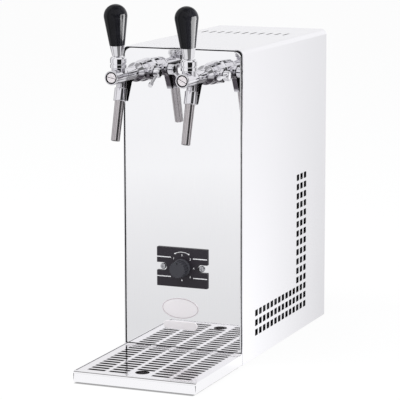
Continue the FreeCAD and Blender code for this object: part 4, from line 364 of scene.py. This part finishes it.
# Soft boxes: name, place, width and height, watts. All aim at the object's middle.
LAMPS = [
    ("box_right", (2.6, -0.5, 1.1), (0.8, 1.9), 34),
    ("box_left", (-2.4, -1.0, 1.2), (1.1, 2.2), 28),
    ("box_top", (-0.4, -0.9, 2.6), (2.0, 1.4), 32),
]
MIDDLE = (0.0, 0.1, 0.25)
GRIP_LAMP = ("box_grips", (0.85, 0.06, 0.34), (0.95, 0.7), 55)
GRIP_MIDDLE = (0.0, -0.115, 0.5)


def make_lamp(name, place, size, watts, aim):
    lamp = bpy.data.lights.new(name, "AREA")
    lamp.shape = "RECTANGLE"
    lamp.size, lamp.size_y = size
    lamp.energy = watts
    thing = bpy.data.objects.new(name, lamp)
    bpy.context.scene.collection.objects.link(thing)
    thing.location = place
    thing.rotation_euler = (Vector(aim) - Vector(place)).to_track_quat("-Z", "Y").to_euler()
    thing.visible_glossy = False
    return thing


def make_lamps():
    for lamp in LAMPS:
        make_lamp(*lamp, MIDDLE)


def make_grip_lamp():
    """A soft box that lights the black grips alone, for the bright band down their right sides."""
    thing = make_lamp(*GRIP_LAMP, GRIP_MIDDLE)
    thing.visible_glossy = True
    thing.visible_camera = False
    grips = bpy.data.collections.new("grips")
    for name in ("left_handle_grip", "right_handle_grip"):
        grips.objects.link(nodes[name])
    thing.light_linking.receiver_collection = grips


# The camera fitted to the photo: azimuth, height and roll in degrees, lens and sensor in mm, place in metres
CAMERA_TURN = (22.645, 9.85, -0.113)
CAMERA_LENS = 186.35
CAMERA_SENSOR = 36.0
CAMERA_PLACE = (1.0845, -2.5383, 0.7022)
CAMERA_END = 100


def make_camera():
    azimuth, height, roll = (math.radians(a) for a in CAMERA_TURN)
    level = math.cos(height)
    back = Vector((math.sin(azimuth) * level, -math.cos(azimuth) * level, math.sin(height)))
    right = (-back).cross(Vector((0, 0, 1))).normalized()
    up = right.cross(-back)
    turned_right = right * math.cos(roll) + up * math.sin(roll)
    turned_up = up * math.cos(roll) - right * math.sin(roll)
    camera = bpy.data.cameras.new("camera")
    camera.sensor_width = CAMERA_SENSOR
    camera.lens = CAMERA_LENS
    camera.clip_end = CAMERA_END
    thing = bpy.data.objects.new("camera", camera)
    bpy.context.scene.collection.objects.link(thing)
    rows = Matrix((turned_right, turned_up, back)).transposed().to_4x4()
    rows.translation = Vector(CAMERA_PLACE)
    thing.matrix_world = rows
    bpy.context.scene.camera = thing


# Materials

METAL, NO_METAL = 1.0, 0.0
# Stretch of the grain: along X as in rolled steel, or upright
ALONG_X = (0.03, 1, 1)
UPRIGHT = (1, 1, 0.02)


def clouded(tree, fine, slow):
    return maths(tree, "MULTIPLY_ADD", fine, FINE_SHARE, maths(tree, "MULTIPLY", slow, 1 - FINE_SHARE))


def grained(name, dark, light, metallic, rough, grain, stretch, height=0.0, distance=0.0001, specular=0.5,
            cloud=6.0):
    """A surface with fine grain, even or drawn out one way, and a slow cloud of tone over it."""
    material, tree, shader = new_material(name)
    fine = noise(tree, grain, stretch, FINE_DETAIL)
    both = clouded(tree, fine, noise(tree, cloud, EVEN, SLOW_DETAIL))
    tree.links.new(mix(tree, rise(tree, both, *NOISE_RANGE), dark, light), shader.inputs["Base Color"])
    tree.links.new(spread(tree, both, *rough, *NOISE_RANGE), shader.inputs["Roughness"])
    shader.inputs["Metallic"].default_value = metallic
    shader.inputs["Specular IOR Level"].default_value = specular
    if height:
        bump(tree, shader, fine, height, distance)
    return material


def make_materials():
    """Each grained line gives both tones, metal, roughness from and to, then the grain and its stretch."""
    m = {}
    m["panel"] = grained("panel_mirror_steel", (0.925, 0.925, 0.935), (0.95, 0.95, 0.958), METAL,
                         (0.02, 0.045), 1500, UPRIGHT, cloud=9)
    dull_bends(m["panel"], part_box("front_panel")[1])
    m["plain"] = grained("plain_steel", (0.60, 0.61, 0.63), (0.70, 0.71, 0.73), METAL, (0.26, 0.36),
                         900, ALONG_X, 0.15, 0.0001)
    m["grid"] = grained("grid_steel", (0.88, 0.865, 0.885), (0.93, 0.915, 0.935), METAL, (0.11, 0.16),
                        1200, ALONG_X, cloud=14)
    darken_below(m["grid"], *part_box("drip_grid"))
    m["screw"] = grained("screw_steel", (0.40, 0.40, 0.42), (0.56, 0.56, 0.58), METAL, (0.2, 0.32),
                         1500, EVEN)
    m["chrome"] = grained("tap_chrome", (0.82, 0.815, 0.84), (0.88, 0.875, 0.895), METAL, (0.035, 0.07),
                          700, EVEN, cloud=30)
    # The arms' chrome is a darker copy of the tap chrome: painted shade over the whole tap body, for its
    # darker reflections
    m["arm"] = grained("arm_chrome", (0.70, 0.69, 0.72), (0.80, 0.79, 0.82), METAL, (0.035, 0.07),
                       700, EVEN, cloud=30)
    shade_below(m["arm"])
    m["spout"] = grained("spout_steel", (0.44, 0.41, 0.42), (0.56, 0.53, 0.54), METAL, (0.12, 0.18),
                         1800, (1, 1, 0.03), cloud=20)
    m["grip"] = grained("grip_black", (0.003, 0.003, 0.004), (0.006, 0.006, 0.0075), NO_METAL, (0.08, 0.12),
                        900, EVEN, specular=0.14, cloud=25)
    m["plate"] = grained("plate_black", (0.019, 0.016, 0.022), (0.028, 0.024, 0.031), NO_METAL, (0.38, 0.5),
                         1600, EVEN, 0.1, 0.00003, specular=0.25)
    m["knob"] = grained("knob_grey", (0.034, 0.034, 0.042), (0.050, 0.050, 0.060), NO_METAL, (0.42, 0.55),
                        1600, EVEN, 0.25, 0.00005, specular=0.35)
    m["black"] = grained("plastic_black", (0.012, 0.012, 0.014), (0.024, 0.024, 0.027), NO_METAL, (0.4, 0.55),
                         1500, EVEN, 0.2, 0.00005, specular=0.35)
    m["rubber"] = grained("rubber_black", (0.005, 0.005, 0.006), (0.011, 0.011, 0.012), NO_METAL, (0.6, 0.8),
                          1200, EVEN, 0.3, 0.0001, specular=0.15)
    m["paint"] = grained("paint_black", (0.010, 0.010, 0.011), (0.022, 0.022, 0.024), NO_METAL, (0.25, 0.4),
                         500, EVEN, 0.2, 0.0001)
    m["fins"] = grained("fin_aluminium", (0.60, 0.61, 0.63), (0.76, 0.77, 0.79), METAL, (0.3, 0.45),
                        900, (1, 1, 0.1))
    m["copper"] = grained("line_copper", (0.62, 0.30, 0.18), (0.80, 0.44, 0.28), METAL, (0.2, 0.4),
                          300, EVEN)
    m["foam"] = grained("foam_grey", (0.60, 0.60, 0.58), (0.72, 0.72, 0.70), NO_METAL, (0.75, 0.9),
                        700, EVEN, 0.4, 0.0004)
    m["hose"] = grained("hose_white", (0.66, 0.67, 0.66), (0.78, 0.79, 0.78), NO_METAL, (0.3, 0.45),
                        300, EVEN)
    m["pump"] = grained("pump_grey", (0.22, 0.23, 0.25), (0.32, 0.33, 0.35), NO_METAL, (0.35, 0.5),
                        500, EVEN)
    m["badge"] = grained("badge_white", (0.82, 0.79, 0.81), (0.88, 0.85, 0.87), NO_METAL, (0.18, 0.3),
                         900, EVEN)
    m["border"] = grained("badge_border", (0.42, 0.36, 0.39), (0.52, 0.46, 0.49), 0.3, (0.25, 0.35),
                          900, EVEN)
    m["print"] = grained("print_white", (0.76, 0.76, 0.78), (0.88, 0.88, 0.90), NO_METAL, (0.4, 0.5),
                         900, EVEN)
    m["mark"] = grained("knob_mark", (0.16, 0.16, 0.18), (0.22, 0.22, 0.24), NO_METAL, (0.4, 0.5),
                        900, EVEN)
    m["plug"] = make_plug_material()
    m["tray"] = make_tray_material()
    m["cover"] = make_cover_material()
    return m


def reach(tree, across, above):
    """Length of the slanting side over two square ones."""
    square = maths(tree, "ADD", product(tree, across, across), product(tree, above, above))
    return maths(tree, "SQRT", square)


def rounded_depth(tree, parts, high, corner):
    """How far a place is from the middle of the rounded outline seen from the front, corner at its skin."""
    across = maths(tree, "SUBTRACT", maths(tree, "ABSOLUTE", parts["X"]), high[0] - corner)
    above = maths(tree, "SUBTRACT", parts["Z"], high[2] - corner)
    inside = maths(tree, "MINIMUM", maths(tree, "MAXIMUM", across, above), 0.0)
    outside = reach(tree, maths(tree, "MAXIMUM", across, 0.0), maths(tree, "MAXIMUM", above, 0.0))
    return maths(tree, "ADD", outside, inside)


def socket_source(material, socket):
    """The tree and shader of a material, and what its socket is linked to."""
    tree = material.node_tree
    shader = next(n for n in tree.nodes if n.type == "BSDF_PRINCIPLED")
    return tree, shader, shader.inputs[socket].links[0].from_socket


PANEL_CORNER = 10.5 * MM
PANEL_BEND = 1.9 * MM
# How much rougher the bend is than the flat sheet
BEND_ROUGHNESS = 0.34


def dull_bends(material, high):
    """The polish is duller on the bends down the sides of the sheet."""
    tree, shader, polish = socket_source(material, "Roughness")
    parts = object_parts(tree)
    depth = rounded_depth(tree, parts, high, PANEL_CORNER)
    bend = spread(tree, depth, 0, BEND_ROUGHNESS, PANEL_CORNER - PANEL_BEND, PANEL_CORNER - PANEL_BEND / 2)
    down = fall(tree, parts["Z"], high[2] - 2 * PANEL_CORNER, high[2] - PANEL_CORNER)
    tree.links.new(maths(tree, "MULTIPLY_ADD", bend, down, polish), shader.inputs["Roughness"])


# The shade under the arms: how far below the tap's axis it lies, and where in Y it sets in
ARM_SHADE = (30 * MM, 5 * MM)
ARM_SHADE_Y = (-93 * MM, -86 * MM)


def shade_below(material):
    """The arms are darker on their undersides, from behind the head to the panel."""
    tree, shader, skin = socket_source(material, "Base Color")
    parts = object_parts(tree)
    below = window(tree, parts["Z"], tap_axis[1] - ARM_SHADE[0], tap_axis[1] - ARM_SHADE[1], 5 * MM)
    under = mix(tree, noise(tree, 200, (1, 0.1, 1)), (0.05, 0.042, 0.05), (0.16, 0.145, 0.165))
    share = product(tree, below, rise(tree, parts["Y"], *ARM_SHADE_Y))
    tree.links.new(mix(tree, share, skin, under), shader.inputs["Base Color"])


# The grid's slots, as in the CAD model: pitch and half size in X and Y, columns, second and last row
SLOT_PITCH = (30.6 * MM, 11.54 * MM)
SLOT_HALF = (12.0 * MM, 2.8 * MM)
COLUMNS = 5
SECOND_ROW = -18.54 * MM
LAST_ROW = -145.48 * MM
# The finger hole takes the middle column's place up to this distance behind the hole's middle
FINGER_Y = -135.8 * MM
FINGER_REACH = (8 * MM, 9 * MM)
# Behind the second row the tone changes between these Y: nearer the panel there is no painted shade
BEHIND_SECOND = (SECOND_ROW + 5 * MM, SECOND_ROW + 6 * MM)
# Width of the band of painted shade round each slot, where its pressed edge would mirror the dark below, and
# how dark it is
SLOT_SHADE_WIDTH = 0.9 * MM
SLOT_SHADE_DEPTH = 0.85
# A mask turns from 0 to 1 over this width at a hard edge
HARD = 0.1 * MM
# The same between two columns of slots, as a share of their pitch
COLUMN_SOFT = 0.05
GRID_RIM = 2 * MM
# How much rougher the grid's lower faces near the panel are
GRID_DULL = 0.6


def from_slot(tree, value, middle, pitch, half):
    """1 within half of the nearest slot's middle line, along one direction."""
    steps = maths(tree, "DIVIDE", maths(tree, "SUBTRACT", value, middle), pitch)
    off = maths(tree, "ABSOLUTE", maths(tree, "SUBTRACT", steps, maths(tree, "ROUND", steps)))
    return fall(tree, off, (half - HARD) / pitch, (half + HARD) / pitch)


def painted_slot_shade(tree, parts):
    """How dark the narrow band of painted shade round the slots is, where their pressed edges would mirror
    the dark below.
    """
    pitch_x, pitch_y = SLOT_PITCH
    x = from_slot(tree, parts["X"], 0.0, pitch_x, SLOT_HALF[0] + SLOT_SHADE_WIDTH)
    y = from_slot(tree, parts["Y"], SECOND_ROW, pitch_y, SLOT_HALF[1] + SLOT_SHADE_WIDTH)
    rows = window(tree, parts["Y"], LAST_ROW - pitch_y / 2, SECOND_ROW + pitch_y / 2, HARD)
    side = maths(tree, "ABSOLUTE", parts["X"])
    columns = fall(tree, side, (COLUMNS / 2 - COLUMN_SOFT) * pitch_x, COLUMNS / 2 * pitch_x)
    beside_finger = rise(tree, side, (0.5 - COLUMN_SOFT) * pitch_x, 0.5 * pitch_x)
    behind_finger = rise(tree, parts["Y"], FINGER_Y + FINGER_REACH[0], FINGER_Y + FINGER_REACH[1])
    free = maths(tree, "MAXIMUM", beside_finger, behind_finger)
    return product(tree, x, y, rows, columns, free, SLOT_SHADE_DEPTH)


def darken_below(material, low, high):
    """Painted shade on the walls and edges of the slots, where little light gets in."""
    tree, shader, skin = socket_source(material, "Base Color")
    parts = object_parts(tree)
    rim = high[0] - GRID_RIM
    x = fall(tree, maths(tree, "ABSOLUTE", parts["X"]), rim, rim + HARD)
    y = window(tree, parts["Y"], low[1] + GRID_RIM, high[1] - GRID_RIM, HARD)
    below = fall(tree, parts["Z"], high[2] - 2 * HARD, high[2] - HARD)
    front = fall(tree, parts["Y"], *BEHIND_SECOND)
    dark = maths(tree, "MAXIMUM", product(tree, x, y, below, front), painted_slot_shade(tree, parts))
    # The colour of the painted shade on the slot walls and the bands round the slots
    painted_shade = mix(tree, noise(tree, 300), (0.07, 0.062, 0.066), (0.12, 0.106, 0.112))
    tree.links.new(mix(tree, dark, skin, painted_shade), shader.inputs["Base Color"])
    tree, shader, polish = socket_source(material, "Roughness")
    dull = product(tree, maths(tree, "SUBTRACT", 1.0, front), below)
    tree.links.new(maths(tree, "MULTIPLY_ADD", dull, GRID_DULL, polish), shader.inputs["Roughness"])


DISC_RADIUS = 6.32 * MM
DISC_EDGE = 0.06 * MM
DISC_ROUGHNESS = 0.25
# How dark the painted shade at the bottom of the disc's slot is
SLOT_DARK = 0.8


def make_plug_material():
    """Pale disc in a ring of painted shade, the recess round it: the ring is what lies outside the disc's
    radius on either tap's axis.
    """
    material, tree, shader = new_material("plug_pale")
    fine = noise(tree, 900)
    pale = mix(tree, fine, (0.62, 0.585, 0.60), (0.71, 0.67, 0.69))
    # Painted shade for the recess round the disc and for the bottom of its slot
    dark = mix(tree, fine, (0.010, 0.009, 0.011), (0.020, 0.018, 0.021))
    parts = object_parts(tree)
    across = maths(tree, "SUBTRACT", maths(tree, "ABSOLUTE", parts["X"]), tap_axis[0])
    above = maths(tree, "SUBTRACT", parts["Z"], tap_axis[1])
    ring = rise(tree, reach(tree, across, above), DISC_RADIUS, DISC_RADIUS + DISC_EDGE)
    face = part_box("left_front_plug")[0][1]
    slot = spread(tree, parts["Y"], 0, SLOT_DARK, face + HARD, face + 2 * HARD)
    tree.links.new(mix(tree, maths(tree, "MAXIMUM", ring, slot), pale, dark), shader.inputs["Base Color"])
    shader.inputs["Roughness"].default_value = DISC_ROUGHNESS
    return material


TRAY_SHEET = 0.6 * MM
# The painted shade darkens towards the tray's sides between these distances from them
TRAY_CORNER = (22 * MM, 10 * MM)
# Roughness of the polish, and how much duller the part with painted shade is
TRAY_POLISH = (0.05, 0.09)
TRAY_DULL = 0.3


def make_tray_material():
    """Polished steel, darker where the closed grid keeps the light out of the tray."""
    material, tree, shader = new_material("tray_steel")
    fine = noise(tree, 1200, ALONG_X, FINE_DETAIL)
    slow = noise(tree, 14, EVEN, SLOW_DETAIL)
    skin = mix(tree, slow, (0.92, 0.915, 0.925), (0.955, 0.95, 0.96))
    # Painted shade inside the tray, where the closed grid keeps the light out; deepest towards its sides
    painted_shade = mix(tree, slow, (0.09, 0.08, 0.084), (0.16, 0.142, 0.148))
    deep_painted_shade = mix(tree, slow, (0.020, 0.014, 0.016), (0.036, 0.027, 0.030))
    parts = object_parts(tree)
    low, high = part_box("drip_tray")
    side = maths(tree, "ABSOLUTE", parts["X"])
    x = fall(tree, side, high[0] - TRAY_SHEET, high[0] - TRAY_SHEET + HARD)
    y = rise(tree, parts["Y"], low[1] + TRAY_SHEET, low[1] + TRAY_SHEET + HARD)
    z = window(tree, parts["Z"], TRAY_SHEET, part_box("drip_grid")[1][2] - 3 * HARD, HARD)
    inside = product(tree, x, y, z, fall(tree, parts["Y"], *BEHIND_SECOND))
    corner = rise(tree, side, high[0] - TRAY_CORNER[0], high[0] - TRAY_CORNER[1])
    painted_shade_tone = mix(tree, corner, painted_shade, deep_painted_shade)
    tree.links.new(mix(tree, inside, skin, painted_shade_tone), shader.inputs["Base Color"])
    shader.inputs["Metallic"].default_value = METAL
    polish = spread(tree, fine, *TRAY_POLISH, 0.3, 0.7)
    tree.links.new(maths(tree, "MULTIPLY_ADD", inside, TRAY_DULL, polish), shader.inputs["Roughness"])
    return material


COVER_CORNER = 8.0 * MM
# Roughness of the satin outside, and how much duller the painted dark inside is
COVER_SATIN = (0.15, 0.20)
COVER_DULL = 0.45


def make_cover_material():
    """Satin steel outside and painted shade inside, dark and not metal, told apart by the depth under the
    outer skin.
    """
    material, tree, shader = new_material("cover_steel")
    fine = noise(tree, 1100, UPRIGHT, FINE_DETAIL)
    both = clouded(tree, fine, noise(tree, 4, EVEN, SLOW_DETAIL))
    skin = mix(tree, rise(tree, both, *NOISE_RANGE), (0.925, 0.92, 0.94), (0.94, 0.935, 0.952))
    # Painted shade on the cover's inner faces
    painted_inner_shade = mix(tree, fine, (0.010, 0.010, 0.012), (0.018, 0.018, 0.020))
    parts = object_parts(tree)
    depth = rounded_depth(tree, parts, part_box("outer_cover")[1], COVER_CORNER)
    covered = fall(tree, depth, COVER_CORNER - 4 * HARD, COVER_CORNER - 2 * HARD)
    dark = product(tree, covered, rise(tree, parts["Y"], 4 * HARD, 6 * HARD))
    tree.links.new(mix(tree, dark, skin, painted_inner_shade), shader.inputs["Base Color"])
    tree.links.new(maths(tree, "SUBTRACT", 1.0, dark), shader.inputs["Metallic"])
    satin = spread(tree, both, *COVER_SATIN, *NOISE_RANGE)
    tree.links.new(maths(tree, "MULTIPLY_ADD", dark, COVER_DULL, satin), shader.inputs["Roughness"])
    return material


# Which look each node has; those of a tap come twice, left and right
LOOKS = {
    "cover": ["outer_cover"],
    "panel": ["front_panel"],
    "plain": ["rear_panel", "base_pan", "inner_frame"],
    "rubber": ["edge_seal", "rubber_feet", "compressor_grommets"],
    "screw": ["casing_screws", "control_screws", "panel_nuts", "thermostat_shaft", "hose_stems"],
    "plate": ["control_plate"],
    "knob": ["thermostat_knob"],
    "badge": ["oval_badge", "small_badge"],
    "tray": ["drip_tray"],
    "grid": ["drip_grid"],
    "paint": ["compressor", "fan_motor"],
    "fins": ["condenser", "cooling_block"],
    "black": ["thermostat_body", "fan_shroud", "fan_blade", "power_inlet", "switch_frame", "switch_rocker"],
    "copper": ["thermostat_bulb", "filter_drier", "discharge_line", "liquid_line", "suction_line"],
    "foam": ["insulation_shell"],
    "hose": ["beer_tubes", "air_hose"],
    "pump": ["air_pump"],
}
TAP_LOOKS = {
    "arm": ["tap_body"],
    "chrome": ["top_nut", "tap_lever", "comp_lever", "rosette", "shank"],
    "grip": ["handle_grip"],
    "plug": ["front_plug"],
    "screw": ["valve_plunger"],
    "hose": ["comp_cone"],
    "spout": ["spout"],
}


def paint_nodes(m):
    looks = {name: look for look, names in LOOKS.items() for name in names}
    for look, names in TAP_LOOKS.items():
        looks.update({side + name: look for side in ("left_", "right_") for name in names})
    for name, thing in nodes.items():
        thing.data.materials.clear()
        thing.data.materials.append(m[looks[name]])


# Details that only show

INK = 0.05 * MM


def add_piece(name, data, body, material):
    piece = bpy.data.objects.new(name, data)
    bpy.context.scene.collection.objects.link(piece)
    piece.data.materials.append(material)
    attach(piece, body)
    return piece


def middle(low, high):
    """X and Z of a box's middle."""
    return (low.x + high.x) / 2, (low.z + high.z) / 2


def slab(bm, outline, rear, front):
    """Closed flat plate facing the front: outline of X and Z, between two values of Y."""
    back = [bm.verts.new((x, rear, z)) for x, z in outline]
    face = [bm.verts.new((x, front, z)) for x, z in outline]
    count = len(outline)
    bm.faces.new(back)
    bm.faces.new(face[::-1])
    for i in range(count):
        j = (i + 1) % count
        bm.faces.new((back[j], back[i], face[i], face[j]))


def finished(name, bm):
    bmesh.ops.recalc_face_normals(bm, faces=bm.faces)
    mesh = bpy.data.meshes.new(name)
    bm.to_mesh(mesh)
    bm.free()
    return mesh


def bar(x0, x1, z0, z1):
    return [(x0, z0), (x1, z0), (x1, z1), (x0, z1)]


def arc_band(centre, radius, width, start, end, steps):
    """Outline of a band along part of a circle, angles in degrees from +X."""
    outer, inner = [], []
    for i in range(steps + 1):
        angle = math.radians(start + (end - start) * i / steps)
        for points, r in ((outer, radius + width / 2), (inner, radius - width / 2)):
            points.append((centre[0] + r * math.cos(angle), centre[1] + r * math.sin(angle)))
    return outer + inner[::-1]


def ellipse_ring(bm, centre, outer, inner, rear, front, steps):
    """Closed ring between two ellipses, each given by its half width and half height."""
    loops = []
    for half, y in ((outer, rear), (outer, front), (inner, front), (inner, rear)):
        loop = []
        for i in range(steps):
            angle = 2 * math.pi * i / steps
            loop.append(bm.verts.new((centre[0] + half[0] * math.cos(angle), y,
                                      centre[1] + half[1] * math.sin(angle))))
        loops.append(loop)
    for first, second in zip(loops, loops[1:] + loops[:1]):
        for i in range(steps):
            j = (i + 1) % steps
            bm.faces.new((first[i], first[j], second[j], second[i]))


# The dial's numbers: angles in degrees from +X
NUMBER_RADIUS = 17.3 * MM
NUMBER_HEIGHT = 3.9 * MM
NUMBER_BOLD = 0.018
NUMBER_COUNT = 7
NUMBER_STEP = 45
NUMBER_START = 135


def make_dial_numbers(m, centre, front):
    for i in range(NUMBER_COUNT):
        angle = math.radians(NUMBER_START - NUMBER_STEP * i)
        number = bpy.data.curves.new(f"dial_number_{i + 1}", "FONT")
        number.body = str(i + 1)
        number.size = NUMBER_HEIGHT
        number.extrude = INK / 2
        number.offset = NUMBER_HEIGHT * NUMBER_BOLD
        number.align_x = "CENTER"
        number.align_y = "CENTER"
        piece = add_piece(number.name, number, "casing", m["print"])
        piece.location = (centre[0] + NUMBER_RADIUS * math.cos(angle), front - INK / 2,
                          centre[1] + NUMBER_RADIUS * math.sin(angle))
        piece.rotation_euler = (math.pi / 2, 0, 0)


# The arc with two arrow heads over the dial: how far it reaches to each side, in degrees
ARROW_RADIUS = 21.6 * MM
ARROW_WIDTH = 0.7 * MM
ARROW_REACH = 26
ARROW_STEPS = 14
ARROW_HEAD = 2.2 * MM
ARROW_FLARE = 0.6 * ARROW_HEAD
# The two lines at each side of the dial
LINE_INNER_X = 16.5 * MM
LINE_RISE = 13.45 * MM
LINE_WIDTH = 1.3 * MM


def make_dial_print(m):
    low, high = (Vector(v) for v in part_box("control_plate"))
    centre = middle(low, high)
    front = low.y
    make_dial_numbers(m, centre, front)
    bm = bmesh.new()
    arc = arc_band(centre, ARROW_RADIUS, ARROW_WIDTH, 90 - ARROW_REACH, 90 + ARROW_REACH, ARROW_STEPS)
    slab(bm, arc, front, front - INK)
    for side in (-1, 1):
        angle = math.radians(90 + side * ARROW_REACH)
        along = Vector((-math.sin(angle), math.cos(angle))) * side
        out = Vector((math.cos(angle), math.sin(angle)))
        root = Vector(centre) + out * ARROW_RADIUS
        head = [root + out * ARROW_FLARE, root + along * ARROW_HEAD, root - out * ARROW_FLARE]
        slab(bm, [tuple(point) for point in head], front, front - INK)
        for rise_z in (-LINE_RISE, LINE_RISE):
            edge = high.x if side > 0 else low.x
            x0, x1 = sorted((edge - side * INK, centre[0] + side * LINE_INNER_X))
            z = centre[1] + rise_z
            slab(bm, bar(x0, x1, z - LINE_WIDTH / 2, z + LINE_WIDTH / 2), front, front - INK)
    add_piece("dial_lines", finished("dial_lines", bm), "casing", m["print"])


MARK_WIDTH = 1.1 * MM
MARK_INNER = 7.2 * MM
MARK_OUTER = 10.4 * MM


def make_knob_mark(m):
    low, high = (Vector(v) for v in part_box("thermostat_knob"))
    x, z = middle(low, high)
    bm = bmesh.new()
    mark = bar(x - MARK_WIDTH / 2, x + MARK_WIDTH / 2, z + MARK_INNER, z + MARK_OUTER)
    slab(bm, mark, low.y + INK, low.y)
    add_piece("knob_mark", finished("knob_mark", bm), "knob", m["mark"])


BORDER_INSET = 0.6 * MM
BORDER_WIDTH = 0.8 * MM
BORDER_STEPS = 96


def make_badge_border(m):
    low, high = (Vector(v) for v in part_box("oval_badge"))
    half = ((high.x - low.x) / 2 - BORDER_INSET, (high.z - low.z) / 2 - BORDER_INSET)
    inner = (half[0] - BORDER_WIDTH, half[1] - BORDER_WIDTH)
    bm = bmesh.new()
    ellipse_ring(bm, middle(low, high), half, inner, low.y, low.y - INK, BORDER_STEPS)
    add_piece("oval_badge_border", finished("oval_badge_border", bm), "casing", m["border"])


# The painted shade narrows downwards, between two heights over the floor. Its outer edge lies inside the
# tray's side.
WEDGE_INSET = 0.3 * MM
WEDGE_TOP = 12.6 * MM
WEDGE_BOTTOM = 4.2 * MM
WEDGE_WIDTH = 0.9 * MM
WEDGE_TIP = 0.25 * MM


def make_fold_gap_shade(m):
    """A thin dark wedge of painted shade, in the black rubber look, for the narrow gap where the tray's front
    and side folds meet.
    """
    low, high = (Vector(v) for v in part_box("drip_tray"))
    bm = bmesh.new()
    for side, x in ((-1, low.x), (1, high.x)):
        edge = x - side * WEDGE_INSET
        slab(bm, [(edge, WEDGE_TOP), (edge - side * WEDGE_WIDTH, WEDGE_TOP),
                  (edge - side * WEDGE_TIP, WEDGE_BOTTOM), (edge, WEDGE_BOTTOM)], low.y + INK, low.y)
    add_piece("tray_fold_gap_shade", finished("tray_fold_gap_shade", bm), "tray", m["rubber"])


bpy.context.scene.view_settings.view_transform = "Standard"
make_camera()
make_world()
make_floor()
make_lamps()
make_grip_lamp()
materials = make_materials()
paint_nodes(materials)
make_dial_print(materials)
make_knob_mark(materials)
make_badge_border(materials)
make_fold_gap_shade(materials)
